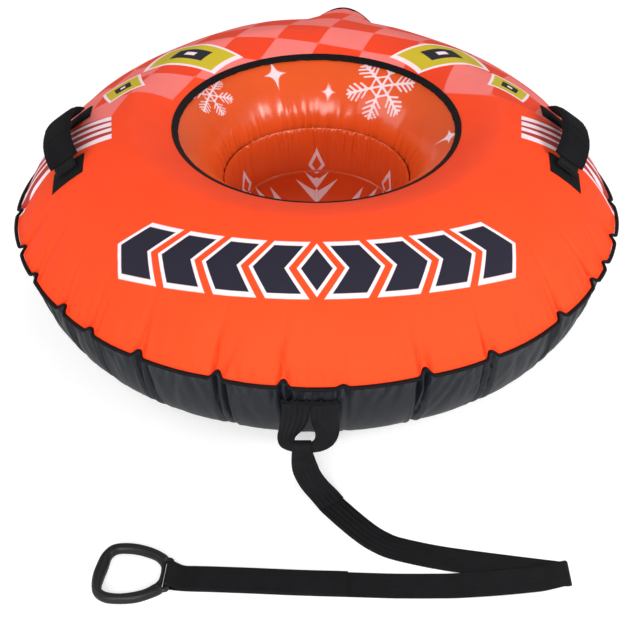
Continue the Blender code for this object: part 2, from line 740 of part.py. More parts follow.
def build_tow_strap():
    """One length of webbing: eye round the loop, run over the ground, fold back, eye round the bar."""
    lift = WEBBING_THICKNESS + GAP
    frames = route_frames(STRAP_ROUTE)
    stations = []
    for place, across, width, up, skywards in frames[LOOP_TAIL_POINTS - 1::-1]:
        stations.append((place + skywards * lift, across, width, up))
    eye_across, eye = Vector((1.0, 0.0, 0.0)), Vector(EYE_CENTRE)
    for i in range(EYE_STEPS + 1):
        turned_to = math.radians(EYE_FIRST_DEGREES + (EYE_LAST_DEGREES - EYE_FIRST_DEGREES) * i / EYE_STEPS)
        outwards = Vector((0.0, math.cos(turned_to), math.sin(turned_to)))
        stations.append((eye + outwards * EYE_RADIUS, eye_across, EYE_WIDTH, outwards))
    for place, across, width, up, skywards in frames:
        stations.append((place, across, width, up))
    heading = math.radians(HANDLE_HEADING)
    ahead = Vector((math.cos(heading), math.sin(heading), 0.0))
    bar_across, bar = Vector((-ahead.y, ahead.x, 0.0)), Vector(BAR_MIDDLE)
    upwards = Vector((0.0, 0.0, 1.0))
    ground = upwards * (WEBBING_THICKNESS / 2 + GAP - bar.z)
    for reach in (2 * THROAT, THROAT):
        stations.append((bar - ahead * reach + ground, bar_across, WEBBING_WIDTH, upwards))
    for i in range(EYE_STEPS + 1):
        share = i / EYE_STEPS
        turned_to = math.radians(HANDLE_EYE_FIRST_DEGREES * (1 - share) + HANDLE_EYE_LAST_DEGREES * share)
        outwards = ahead * math.cos(turned_to) + upwards * math.sin(turned_to)
        stations.append((bar + outwards * HANDLE_EYE_RADIUS, bar_across, WEBBING_WIDTH, outwards))
    for reach in (THROAT, 2 * THROAT):
        stations.append((bar - ahead * reach + ground + upwards * lift, bar_across, WEBBING_WIDTH, upwards))
    for place, across, width, up, skywards in frames[:-HANDLE_TAIL_POINTS - 1:-1]:
        stations.append((place + skywards * lift, across, width, up))
    rings = []
    last_across, last_up = stations[0][1], stations[0][3]
    for middle, across, width, up in stations:
        across = -across if across @ last_across < 0 else across
        up = -up if up @ last_up < 0 else up
        wide, tall = across * width / 2, up * WEBBING_THICKNESS / 2
        rings.append(band_corners(middle, wide, tall))
        last_across, last_up = across, up
    return hang(loft("tow_strap", rings, "black_webbing"), eye)


def build_tow_handle():
    """Moulded D handle with a slot bar, built round the bar's middle."""
    rings = []
    for outer, inner, height in HANDLE_OUTLINE:
        outer, inner = Vector((*outer, 0.0)), Vector((*inner, 0.0))
        middle, reach = (outer + inner) / 2, (outer - inner) / 2
        ring = []
        for k in range(HANDLE_SIDES):
            turned_to = 2.0 * math.pi * (k + 0.5) / HANDLE_SIDES
            u, v = math.cos(turned_to), math.sin(turned_to)
            u = math.copysign(abs(u) ** HANDLE_SECTION_POWER, u)
            v = math.copysign(abs(v) ** HANDLE_SECTION_POWER, v)
            ring.append(middle + reach * u + Vector((0.0, 0.0, height / 2 * v)))
        rings.append(ring)
    handle = loft("tow_handle", rings, "black_plastic", round_trip=True)
    straight = BAR_HALF_LENGTH - BAR_RADIUS
    staple_route = ((EAR_REACH, -BAR_HALF_LENGTH), (BAR_RADIUS, -BAR_HALF_LENGTH), (0.0, -straight),
                    (0.0, straight), (BAR_RADIUS, BAR_HALF_LENGTH), (EAR_REACH, BAR_HALF_LENGTH))
    rings = []
    for i, (x, y) in enumerate(staple_route):
        before, after = staple_route[max(i - 1, 0)], staple_route[min(i + 1, len(staple_route) - 1)]
        run = Vector((after[0] - before[0], after[1] - before[1], 0.0)).normalized()
        side = Vector((-run.y, run.x, 0.0))
        ring = []
        for k in range(HANDLE_SIDES):
            turned_to = 2.0 * math.pi * (k + 0.5) / HANDLE_SIDES
            ring.append(Vector((x, y, 0.0)) + side * math.cos(turned_to) * BAR_RADIUS
                        + Vector((0.0, 0.0, math.sin(turned_to) * BAR_RADIUS)))
        rings.append(ring)
    staple = loft("slot_bar", rings, "black_plastic")
    PARTS.objects.unlink(staple)
    CUTTERS.objects.link(staple)
    staple.hide_render = True
    staple.display_type = "WIRE"
    for piece in (handle, staple):
        piece.location = BAR_MIDDLE
        piece.rotation_euler = (0.0, 0.0, math.radians(HANDLE_HEADING))
    joined = handle.modifiers.new("slot_bar", "BOOLEAN")
    joined.operation = "UNION"
    joined.object = staple
    return handle


build_top_cover()
build_bottom_cover()
build_seam_piping()
build_rim_binding()
build_air_tube()
build_valve()
build_seat_floor()
for side_name, side_sign in (("left", -1), ("right", 1)):
    build_tab(side_name + "_handle_front_tab", side_sign, -1)
    build_tab(side_name + "_handle_rear_tab", side_sign, 1)
    build_sleeve(side_name + "_handle_sleeve", side_sign)
    build_handle_webbing(side_name + "_handle_webbing", side_sign)
build_tow_loop()
build_tow_strap()
build_tow_handle()
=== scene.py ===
"""Snow tube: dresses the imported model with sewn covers, printed fabric, vinyl, webbing and a studio.

Metres, +Z up, the tow side faces -Y. Run it with blender --background --python scene.py.
"""
import math
from types import SimpleNamespace

import bpy
import mathutils
import numpy as np
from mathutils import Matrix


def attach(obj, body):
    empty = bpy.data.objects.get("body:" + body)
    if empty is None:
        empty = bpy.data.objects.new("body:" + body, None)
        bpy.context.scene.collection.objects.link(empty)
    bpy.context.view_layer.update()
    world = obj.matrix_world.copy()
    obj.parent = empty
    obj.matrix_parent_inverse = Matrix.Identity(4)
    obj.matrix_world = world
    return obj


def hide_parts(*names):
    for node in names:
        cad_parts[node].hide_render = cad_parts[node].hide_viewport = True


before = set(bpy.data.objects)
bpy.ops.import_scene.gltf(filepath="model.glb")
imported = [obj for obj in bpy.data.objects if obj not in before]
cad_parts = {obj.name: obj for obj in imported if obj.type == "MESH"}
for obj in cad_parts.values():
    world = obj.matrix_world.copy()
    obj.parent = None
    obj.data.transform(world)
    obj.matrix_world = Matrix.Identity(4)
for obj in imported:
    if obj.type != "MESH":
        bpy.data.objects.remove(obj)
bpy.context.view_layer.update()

bl_info = {
    "name": "Snow Tube",
    "version": (1, 0, 0),
    "blender": (4, 5, 0),
    "location": "View3D > Sidebar > Snow Tube",
    "description": "Builds the covers, inflatable, handles and tow line of a snow tube",
    "category": "Object",
}


def linear(code):
    """Turns an sRGB hex colour into linear red, green and blue."""
    shares = np.array([int(code[i:i + 2], 16) for i in (0, 2, 4)]) / 255.0
    curved = ((shares + 0.055) / 1.055) ** 2.4
    return tuple(float(v) for v in np.where(shares <= 0.04045, shares / 12.92, curved))


def length(name, description, default):
    """A size in metres that the sidebar shows."""
    return bpy.props.FloatProperty(name=name, description=description, default=default, unit="LENGTH",
                                   precision=4)


def tint(name, description, code):
    """A colour that the sidebar shows, written as an sRGB hex value."""
    return bpy.props.FloatVectorProperty(name=name, description=description, default=linear(code),
                                         subtype="COLOR", size=3, min=0.0, max=1.0)


class RingSizes(bpy.types.PropertyGroup):
    """Section of the stuffed ring and depth of its gathers."""
    seam_radius: length("Seam radius", "Radius of the perimeter seam", 0.4947)
    seam_height: length("Seam height", "Height of the perimeter seam", 0.151)
    crest_radius: length("Crest radius", "Radius of the ring's highest line", 0.302)
    height: length("Height", "Height of the crest", 0.306)
    base_radius: length("Base radius", "Radius of the flat underside", 0.400)
    rim_radius: length("Rim radius", "Radius of the bound edge of the top cover", 0.2285)
    waist_radius: length("Waist radius", "Radius of the weld between ring and floor", 0.157)
    waist_height: length("Waist height", "Height of the weld between ring and floor", 0.181)
    floor_radius: length("Floor radius", "Radius of the seat floor's disc", 0.177)
    floor_height: length("Floor height", "Height of the seat floor's edge", 0.080)
    floor_sag: length("Floor sag", "Drop of the seat floor's middle", 0.008)
    disc_radius: length("Disc radius", "Radius of the floor's disc as it hangs", 0.143)
    disc_height: length("Disc height", "Height of the floor's disc as it hangs", 0.097)
    notch_depth: length("Notch depth", "How far a gather draws the seam in", 0.0115)
    pleat_depth: length("Pleat depth", "Depth of the small pleats under the weld", 0.0048)
    lap: length("Lap", "How far the covers' own line stands inside the seam", 0.006)
    piping: length("Piping", "Diameter of the welt cord in the seam", 0.0062)
    cloth: length("Cloth", "Thickness of the cover's cloth", 0.001)


class WebbingSizes(bpy.types.PropertyGroup):
    """Webbing and padded sleeves."""
    width: length("Width", "Width of the webbing", 0.040)
    thickness: length("Thickness", "Thickness of the webbing", 0.0020)
    sleeve_width: length("Sleeve width", "Width of the handle's padded sleeve", 0.057)
    sleeve_thickness: length("Sleeve thickness", "Thickness of the sleeve's middle", 0.011)
    tab_width: length("Tab width", "Width of a handle's sewn tab", 0.065)


class Finishes(bpy.types.PropertyGroup):
    """Colours of the cloths, vinyl, webbing and prints, and the painted shade on the floor's disc."""
    orange: tint("Orange", "Ground colour of the printed cover", "FC491E")
    red_check: tint("Red check", "Darker squares of the checked print", "EE4321")
    pink_check: tint("Pink check", "Paler squares of the checked print", "F67A74")
    stripe_white: tint("White ink", "White ink of the stripes and borders", "FBE3EA")
    stripe_gap: tint("Stripe gap", "Red between the stripes", "B93A35")
    yellow: tint("Yellow", "Yellow ink of the diamonds", "CDB72A")
    ink: tint("Dark ink", "Dark ink of the chevrons and diamonds", "262431")
    slate: tint("Slate", "Coated cloth of the lower cover", "171A21")
    vinyl: tint("Vinyl", "Inflatable ring and floor", "E4571F")
    # Painted shade: a darker orange laid over the seat floor's disc, standing for the shade in the hollow
    floor_disc_shade: tint("Floor vinyl", "Seat floor's disc", "E24A12")
    vinyl_print: tint("Vinyl print", "Pale ink on the vinyl", "F4DCE2")
    black: tint("Black", "Webbing, piping and binding", "111013")
    handle_black: tint("Handle black", "Moulded tow handle", "171718")
    valve: tint("Valve", "Soft vinyl of the valve", "C9CCD1")


# Directions of the gathers in degrees from +X, anticlockwise, and how deep each is drawn in
GATHERS = (
    (-172.0, 0.9), (-159.8, 1.0), (-150.9, 0.8), (-139.7, 1.05), (-131.6, 0.75), (-121.0, 1.0), (-106.6, 1.1),
    (-95.5, 0.95), (-85.8, 0.35), (-71.9, 1.15), (-59.8, 1.0), (-43.4, 1.05), (-31.5, 0.95), (-25.4, 0.7),
    (-16.8, 0.9), (-5.0, 1.0), (8.0, 0.95), (19.0, 0.85), (31.0, 1.05), (43.0, 0.9), (57.0, 1.0), (73.8, 1.1),
    (92.6, 1.1), (106.0, 0.9), (119.0, 1.0), (131.0, 0.85), (144.0, 1.05), (157.0, 0.9), (172.0, 1.0),
)
SAMPLES_PER_LOBE = 46
UPPER_POWER = 1.45
INNER_POWER = 1.65
LIFT_OVER_SEAM = 0.0012
LAST_RADIUS = 0.00001
SMOOTH_DEGREES = 50.0
SKY = np.array((0.0, 0.0, 1.0))


def grid_mesh(name, points, closed, uv, marks):
    """Mesh of a grid of points, one quad between each four neighbours.

    Each row goes round. A closed grid joins its last row to its first, and an open one has its two
    ends capped. Faces are turned so that the volume, the sum of the triple products of the faces'
    corners, is positive. uv has one more row or column where the grid goes round, so that a seam
    stays sharp. marks holds named numbers or vectors at each point.
    """
    rows, columns = points.shape[:2]
    i, j = np.meshgrid(np.arange(rows - (not closed)), np.arange(columns), indexing="ij")
    near, far = (i + 1) % rows, (j + 1) % columns
    quads = np.stack([i * columns + j, near * columns + j, near * columns + far, i * columns + far], -1)
    quads = quads.reshape(-1, 4)
    flat = points.reshape(-1, 3)
    a, b, c, d = (flat[quads[:, k]] for k in range(4))
    volume = np.sum(a * np.cross(b, c)) + np.sum(a * np.cross(c, d))
    corner = [(0, 0), (1, 0), (1, 1), (0, 1)]
    if volume < 0:
        quads, corner = quads[:, ::-1], corner[::-1]
    faces = quads.tolist()
    if not closed:
        first, last = list(range(columns)), list(range((rows - 1) * columns, rows * columns))
        faces += [first[::-1], last] if volume < 0 else [first, last[::-1]]
    mesh = bpy.data.meshes.new(name)
    mesh.from_pydata(flat, [], faces)
    if uv is not None:
        loops = np.stack([uv[(i + p) % uv.shape[0], (j + q) % uv.shape[1]] for p, q in corner], -2)
        filled = np.zeros((len(mesh.loops), 2))
        filled[:loops.size // 2] = loops.reshape(-1, 2)
        mesh.uv_layers.new(name="cloth").data.foreach_set("uv", filled.ravel())
    for mark, values in (marks or {}).items():
        kind, field = ("FLOAT_VECTOR", "vector") if values.ndim == 3 else ("FLOAT", "value")
        mesh.attributes.new(mark, kind, "POINT").data.foreach_set(field, values.reshape(-1))
    mesh.update()
    mesh.validate()
    return mesh


def spawn(name, body, slot, replaced, points, closed=True, uv=None, marks=None):
    """Links a mesh made from a grid, gives it the material named by slot, parents it to its body's empty and
    hides the imported parts it replaces.
    """
    mesh = grid_mesh(name, points, closed, uv, marks)
    made = bpy.data.objects.new(name, mesh)
    bpy.context.scene.collection.objects.link(made)
    mesh.materials.append(finish(slot))
    mesh.shade_smooth()
    mesh.set_sharp_from_angle(angle=math.radians(SMOOTH_DEGREES))
    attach(made, body)
    if replaced:
        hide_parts(*replaced)
    return made


def turns(count):
    """Evenly spaced angles of a full turn."""
    return 2 * math.pi * np.arange(count) / count


def signed(turn):
    """An angle brought between minus half a turn and half a turn."""
    return (turn + math.pi) % (2 * math.pi) - math.pi


def powered(value, power):
    """A power of a number's size that keeps its sign."""
    return np.sign(value) * np.abs(value) ** power


def waves(rng, least, place, rates):
    """Sum of sines at seeded phases, each between least and one high."""
    return sum(rng.uniform(least, 1.0) * np.sin(place * rate + rng.uniform(0, 6.28)) for rate in rates)


def path_run(points):
    """Distance from the first point of a path to each of its points."""
    return np.concatenate([[0.0], np.cumsum(np.linalg.norm(np.diff(points, axis=0), axis=1))])


def cloth_map(rows, columns):
    """The cloth's map from the distance of each row and each column."""
    return np.stack(np.meshgrid(rows, columns, indexing="ij"), -1)


def turned_grid(radius, height, angles):
    """Points of a section swept round Z: radius times the angle's cosine and sine, and the height."""
    across, along = np.cos(angles)[:, None], np.sin(angles)[:, None]
    return np.stack([radius * across, radius * along, np.broadcast_to(height, radius.shape)], -1)


def smooth_through(table, count):
    """Rows of a curve through every row of a table, evenly spaced by its first three columns' length.

    Catmull-Rom: between two rows the curve is the cubic whose slopes are half the step between
    the neighbours on either side.
    """
    table = np.asarray(table, float)
    padded = np.vstack([2 * table[0] - table[1], table, 2 * table[-1] - table[-2]])
    fine = np.linspace(0.0, len(table) - 1.0, 12 * len(table) + 1)
    step = np.minimum(fine.astype(int), len(table) - 2)
    t = (fine - step)[:, None]
    before, start, end, after = (padded[step + k] for k in range(4))
    curve = 0.5 * (2 * start + (end - before) * t + (2 * before - 5 * start + 4 * end - after) * t ** 2
                   + (3 * start - before - 3 * end + after) * t ** 3)
    run = path_run(curve[:, :3])
    even = np.linspace(0.0, run[-1], count)
    return np.stack([np.interp(even, run, column) for column in curve.T], -1)


def unit(vectors):
    """Vectors brought to length one."""
    return vectors / np.linalg.norm(vectors, axis=-1, keepdims=True)


# Section of the stuffed ring
GATHER_HALF = 0.0072
FLARE = 0.0072
LIFTED_RADIUS = 0.440
LIFTED_BY = 0.088
LOOSE_OUT = 0.013
LOOSE_UP = 0.031
LOOSE_SAG = 0.022
LOOSE_FROM, LOOSE_TO = 73.8, 92.6
SEAM_RISE = 0.0058
CREASE_START = 0.006
CREASE_FOOT = 0.03
STRIP_ROWS = 7
SHELL_SHARE = 0.88


def bulge(share, power):
    """Height share of a superellipse quarter: one less the share's power, brought back by its root."""
    return (1.0 - np.clip(share, 0.0, 1.0) ** power) ** (1.0 / power)


def inner_height(radius, sizes):
    """Height of the ring's inner shoulder at a radius between waist and crest."""
    share = (sizes.crest_radius - radius) / (sizes.crest_radius - sizes.waist_radius)
    return sizes.waist_height + (sizes.height - sizes.waist_height) * bulge(share, INNER_POWER)


def cover_level(sizes):
    """Height of the top cover's outer face at the seam."""
    return sizes.seam_height + LIFT_OVER_SEAM


def gather_columns():
    """Angle of each column, its share of the way between two gathers, and the two gathers' depths.

    Columns crowd towards the gathers: a third of the share is even, and the rest is half of one
    less the cosine of half a turn.
    """
    starts = np.radians([degrees for degrees, _ in GATHERS])
    depths = np.array([depth for _, depth in GATHERS])
    ends = np.append(starts[1:], starts[0] + 2 * math.pi)
    even = np.arange(SAMPLES_PER_LOBE) / SAMPLES_PER_LOBE
    share = even / 3 + (1 - np.cos(math.pi * even)) / 3
    angles = starts[:, None] + (ends - starts)[:, None] * share
    shares = np.broadcast_to(share, angles.shape)
    left = np.broadcast_to(depths[:, None], angles.shape)
    right = np.broadcast_to(np.roll(depths, -1)[:, None], angles.shape)
    return angles.ravel(), shares.ravel(), left.ravel(), right.ravel()


def smooth_step(value, low, high):
    """Zero below a limit, one above another, with an even curve between."""
    t = np.clip((value - low) / (high - low), 0.0, 1.0)
    return t * t * (3 - 2 * t)


def seam_line(sizes):
    """Angles of the columns, the covers' line, what the seam (spread) and the fuller sides (flare) add
    to it, the seam's level and its rise at the gathers, the far side's lift, and the loose lobe.

    A gather draws the seam in and up by a flat-topped bell of the distance from it, and between two
    gathers the seam is a shallow arch. The front's sides stand out further, and behind the handles
    the seam is tucked under. On the far side the cover rode up over the ring, and one lobe stands
    loose there.
    """
    angles, shares, left, right = gather_columns()
    degrees = np.degrees(angles)
    gathers = np.radians([turn for turn, _ in GATHERS])
    apart = np.abs(signed(angles[:, None] - gathers)) * sizes.seam_radius
    depth = np.array([share for _, share in GATHERS])
    bell = np.sum(depth * np.exp(-(apart / GATHER_HALF) ** 3.0), axis=1)
    arch = 1.0 - np.sin(math.pi * shares) ** 0.8
    drawn = sizes.notch_depth * (0.70 * bell + 0.14 * np.where(shares < 0.5, left, right) * arch)
    from_front = np.abs((degrees + 90 + 180) % 360 - 180)
    flare = FLARE * smooth_step(from_front, 12, 40) * (1 - smooth_step(from_front, 76, 100))
    tucked = smooth_step(from_front, 80, 104)
    lift = smooth_step(degrees, 45, 80) * (1 - smooth_step(degrees, 102, 140))
    loose = np.where((degrees > LOOSE_FROM) & (degrees < LOOSE_TO), np.sin(math.pi * shares) ** 1.2, 0.0)
    lap = sizes.seam_radius - sizes.lap
    line = lap + (LIFTED_RADIUS - lap) * lift + LOOSE_OUT * loose
    spread = sizes.lap * (1 - 1.3 * tucked) * (1 - lift) - drawn * (1 - 0.4 * lift) * (1 - 0.5 * tucked)
    return SimpleNamespace(angles=angles, line=line, spread=spread, flare=flare, lift=lift, loose=loose,
                           level=sizes.seam_height + LIFTED_BY * lift + LOOSE_UP * loose,
                           raised=SEAM_RISE * bell * (1 - lift) * (1 - 0.7 * tucked))


def lobes():
    """Each gather's angle, its depth and the angle of the next one."""
    starts = [math.radians(degrees) for degrees, _ in GATHERS]
    ends = starts[1:] + [starts[0] + 2 * math.pi]
    return zip(starts, [depth for _, depth in GATHERS], ends)


def fine_creases(rng, angle, following, first, step, jitter, depths, widths, growth, power, reaches, lean):
    """Short creases at seeded places between a gather and the following one."""
    rows = []
    for share in np.arange(first, 0.93, step):
        at = angle + (share + rng.uniform(-jitter, jitter)) * (following - angle)
        rows.append((at, rng.uniform(*depths), rng.uniform(*widths), growth, power, rng.uniform(*reaches),
                     rng.uniform(-lean, lean)))
    return rows


def cover_creases():
    """Creases of the top cover: angle, depth, width, growth, power, reach up the cloth, and lean.

    One sharp crease starts at one side of a gather, a fainter one at the other, in a broad soft
    valley. Short fine ones stand between the gathers at seeded places.
    """
    rng = np.random.default_rng(11)
    rows = []
    for angle, depth, following in lobes():
        side, far = rng.choice((-1.0, 1.0)), rng.uniform(0.7, 1.3)
        rows.append((angle + 0.0135 * side, 0.0062 * depth, 0.0020, 0.030, 1.1, 0.055 * far,
                     rng.uniform(-0.20, 0.20)))
        rows.append((angle - 0.0155 * side, 0.0040 * depth, 0.0020, 0.040, 1.2, 0.030 * far,
                     rng.uniform(-0.30, 0.30)))
        rows.append((angle, 0.0034 * depth, 0.0110, 0.20, 2.0, 0.080 * far, 0.0))
        rows += fine_creases(rng, angle, following, 0.10, 0.062, 0.025, (0.000525, 0.0021), (0.0020, 0.0040),
                             0.09, 1.5, (0.012, 0.045), 0.4)
    return np.array(rows)


def shell_creases():
    """Creases of the lower cover, in the same terms as the top cover's.

    Two narrow grooves run down from each gather with a ridge between them, and fine slanting
    wrinkles hang from the seam all round.
    """
    rng = np.random.default_rng(23)
    rows = []
    for angle, depth, following in lobes():
        for side in (-1, 1):
            rows.append((angle + 0.0145 * side, 0.0110 * depth * rng.uniform(0.6, 1.0), 0.0019, 0.012, 1.1,
                         0.21, rng.uniform(-0.07, 0.07)))
        rows.append((angle, 0.0030 * depth, 0.0120, 0.10, 2.0, 0.12, 0.0))
        rows += fine_creases(rng, angle, following, 0.09, 0.052, 0.02, (0.00068, 0.0034), (0.0020, 0.0038),
                             0.035, 1.3, (0.020, 0.085), 0.55)
    return np.array(rows)


def crease_depth(angles, run, radius, table):
    """How far the cloth is drawn in, at each angle and each distance from the seam.

    A crease is a bell of the distance sideways over its width, which grows up the cloth, times a
    fall off along its reach. Just outside it a fifth of its depth stands proud.
    """
    total = np.zeros((len(angles), len(run)))
    for angle, depth, width, growth, power, reach, lean in table:
        turn = signed(angles - angle)
        near = np.abs(turn) < 0.22
        sideways = np.abs(turn[near, None] * radius - lean * run)
        spread = width + growth * run
        fall = depth * np.exp(-(run / reach) ** 1.6)
        proud = 0.2 * np.exp(-((sideways - 2.6 * spread) / spread) ** 2)
        total[near] += fall * (np.exp(-(sideways / spread) ** power) - proud)
    return total


def along(radius, height):
    """Distance along each column of a section."""
    steps = np.hypot(np.diff(radius, axis=1), np.diff(height, axis=1))
    return np.concatenate([np.zeros((len(radius), 1)), np.cumsum(steps, axis=1)], axis=1)


def pushed(radius, height, distance):
    """Moves each point of a section across its own run, by a distance that is positive to the right."""
    turn_r, turn_z = np.gradient(radius, axis=1), np.gradient(height, axis=1)
    size = np.hypot(turn_r, turn_z) + 1e-12
    return radius + distance * turn_z / size, height - distance * turn_r / size


def upper_section(line, spread, level, raised, sizes, rows, inner_rows, loose=0.0):
    """Section from the seam up over the crest and down to the rim.

    Outside the crest the radius and the height follow a superellipse by angle, powers of cosine and
    sine. What the seam adds to the covers' line dies out up the slope. Inside the crest the height
    is a superellipse of the radius. A loose lobe sags behind its edge.
    """
    turn = np.linspace(0.0, 1.0, rows) ** 1.35 * math.pi / 2
    power = 2.0 / UPPER_POWER
    line, spread, level, raised, loose = (np.reshape(np.broadcast_to(part, line.shape), (-1, 1))
                                          for part in (line, spread, level, raised, loose))
    fading = np.exp(-turn / 0.22)
    outer_r = sizes.crest_radius + (line - sizes.crest_radius) * np.cos(turn) ** power + spread * fading
    outer_z = level + (sizes.height - level) * np.sin(turn) ** power + raised * fading
    outer_z = outer_z - LOOSE_SAG * loose * np.exp(-((outer_r - line + 0.034) / 0.017) ** 2)
    inner = np.linspace(sizes.crest_radius, sizes.rim_radius, inner_rows)[1:]
    inner_r = np.broadcast_to(inner, (len(line), len(inner)))
    inner_z = np.broadcast_to(inner_height(inner, sizes), inner_r.shape)
    return np.hstack([outer_r, inner_r]), np.hstack([outer_z, inner_z])


def lower_section(line, spread, level, raised, lift, sizes, rows):
    """Section from the seam down to the edge of the flat base, a quarter of a full superellipse.

    Where the seam is lifted, the first rows run over the ring's shoulder down to its widest line,
    and elsewhere they lie just under the seam.
    """
    line, spread, level, raised = (part[:, None] for part in (line, spread, level, raised))
    over = np.minimum(1.0, lift[:, None] * 3)
    wide = line + (sizes.seam_radius - sizes.lap - line) * over
    wide_z = level - 0.0006 + (sizes.seam_height - level) * over
    spread_left, raised_left = spread * (1 - over), raised * (1 - over)
    power = 2.0 / UPPER_POWER
    turn = np.linspace(0.0, math.pi / 2, STRIP_ROWS)
    strip_r = line + spread + (wide + spread_left - line - spread) * np.sin(turn) ** power
    strip_z = wide_z + raised_left + (level + raised - wide_z - raised_left) * np.cos(turn) ** power
    turn = np.linspace(0.0, 1.0, rows)[1:] ** 1.2 * math.pi / 2
    down = np.sin(turn) ** SHELL_SHARE
    fading = np.exp(-wide_z * down / 0.012)
    side_r = sizes.base_radius + (wide - sizes.base_radius) * np.cos(turn) ** SHELL_SHARE
    side_r = side_r + spread_left * fading
    side_z = wide_z * (1.0 - down) + raised_left * fading * (1 - down)
    return np.hstack([strip_r, side_r]), np.hstack([strip_z, side_z])


def plan_marks(radius, height, angles, crest_radius, crest_column):
    """Place of each point on the flat print: its angle, and the crest's radius plus the run from it."""
    run = along(radius, height)
    flat = crest_radius + run[:, crest_column][:, None] - run
    return flat * np.cos(angles)[:, None], flat * np.sin(angles)[:, None]


# Checked print: places of its squares as polynomials of the flat print's x and y
CHECK_NEAR = (
    (1.812, 10.675, 1.38, 0.024, 3.372, -26.26, 7.006, -34.042, 4.035, 30.742),
    (-2.18, 5.645, -3.236, -2.798, -18.265, 52.249, -13.011, 91.836, 43.089, -25.865),
)
CHECK_FAR = (
    (2.124, 11.53, -4.328, -2.453, 0.82, -1.894, 0.0, 0.0, 0.0, 0.0),
    (-3.136, 3.647, 10.46, 5.148, -0.471, 9.809, 0.0, 0.0, 0.0, 0.0),
)
# Turn in degrees of the side stripes at each radius
STRIPE_RADII = (0.300, 0.333, 0.366, 0.397, 0.445, 0.470, 0.490, 0.510)
STRIPE_TURNS = (-1.5, 0.0, 1.9, 3.6, 5.2, 5.0, 4.2, 3.2)


def print_marks(radius, angles, x, y):
    """Places on the prints, from the radius, the angles and the flat print's x and y.

    check: the square's column and row. gem: place along and across the diamonds. stripe: place
    across the side stripes and past their start. band: place along and across the chevrons.
    """
    terms = np.stack([np.ones_like(x), x, y, x * x, x * y, y * y, x ** 3, x * x * y, x * y * y, y ** 3], -1)
    mix = np.clip((np.hypot(x, y) - 0.34) / 0.06, 0.0, 1.0) * np.clip(y / 0.1, 0.0, 1.0)
    check = np.zeros(x.shape + (3,))
    for k in range(2):
        check[..., k] = (terms @ np.array(CHECK_NEAR[k])) * (1 - mix) + (terms @ np.array(CHECK_FAR[k])) * mix
    check[..., 2] = np.clip((y + 0.004) / 0.0008, -1.0, 1.0)
    turn = np.broadcast_to(angles[:, None], x.shape)
    flat_r = np.hypot(x, y)
    aside = np.arctan2(y, np.abs(x))
    off = aside - math.radians(31.0)
    none = np.zeros_like(x)
    gem = np.stack([off * 0.325, flat_r - 0.322 + 0.10 * off ** 2 + 0.11 * off, none], -1)
    lean = np.degrees(np.arctan2(-np.sin(turn), np.abs(np.cos(turn))))
    place = np.radians(lean - 1.1 + np.interp(radius, STRIPE_RADII, STRIPE_TURNS)) * 0.333
    start = np.abs(np.cos(turn)) * radius - 0.334 + 0.14 * np.clip(place, -0.1, 0.2)
    stripe = np.stack([place, start, none], -1)
    from_front = signed(turn + math.pi / 2)
    end = np.clip(np.abs(from_front) / math.radians(41.0), 0.0, 1.5)
    high, low = 0.346 + 0.024 * end ** 2, 0.418 + 0.028 * end ** 2
    band = np.stack([from_front * 0.395, (low - radius) / (low - high) - 0.5, none], -1)
    return {"check": check, "gem": gem, "stripe": stripe, "band": band}


# Material making
PRINT_EDGE = 0.0006


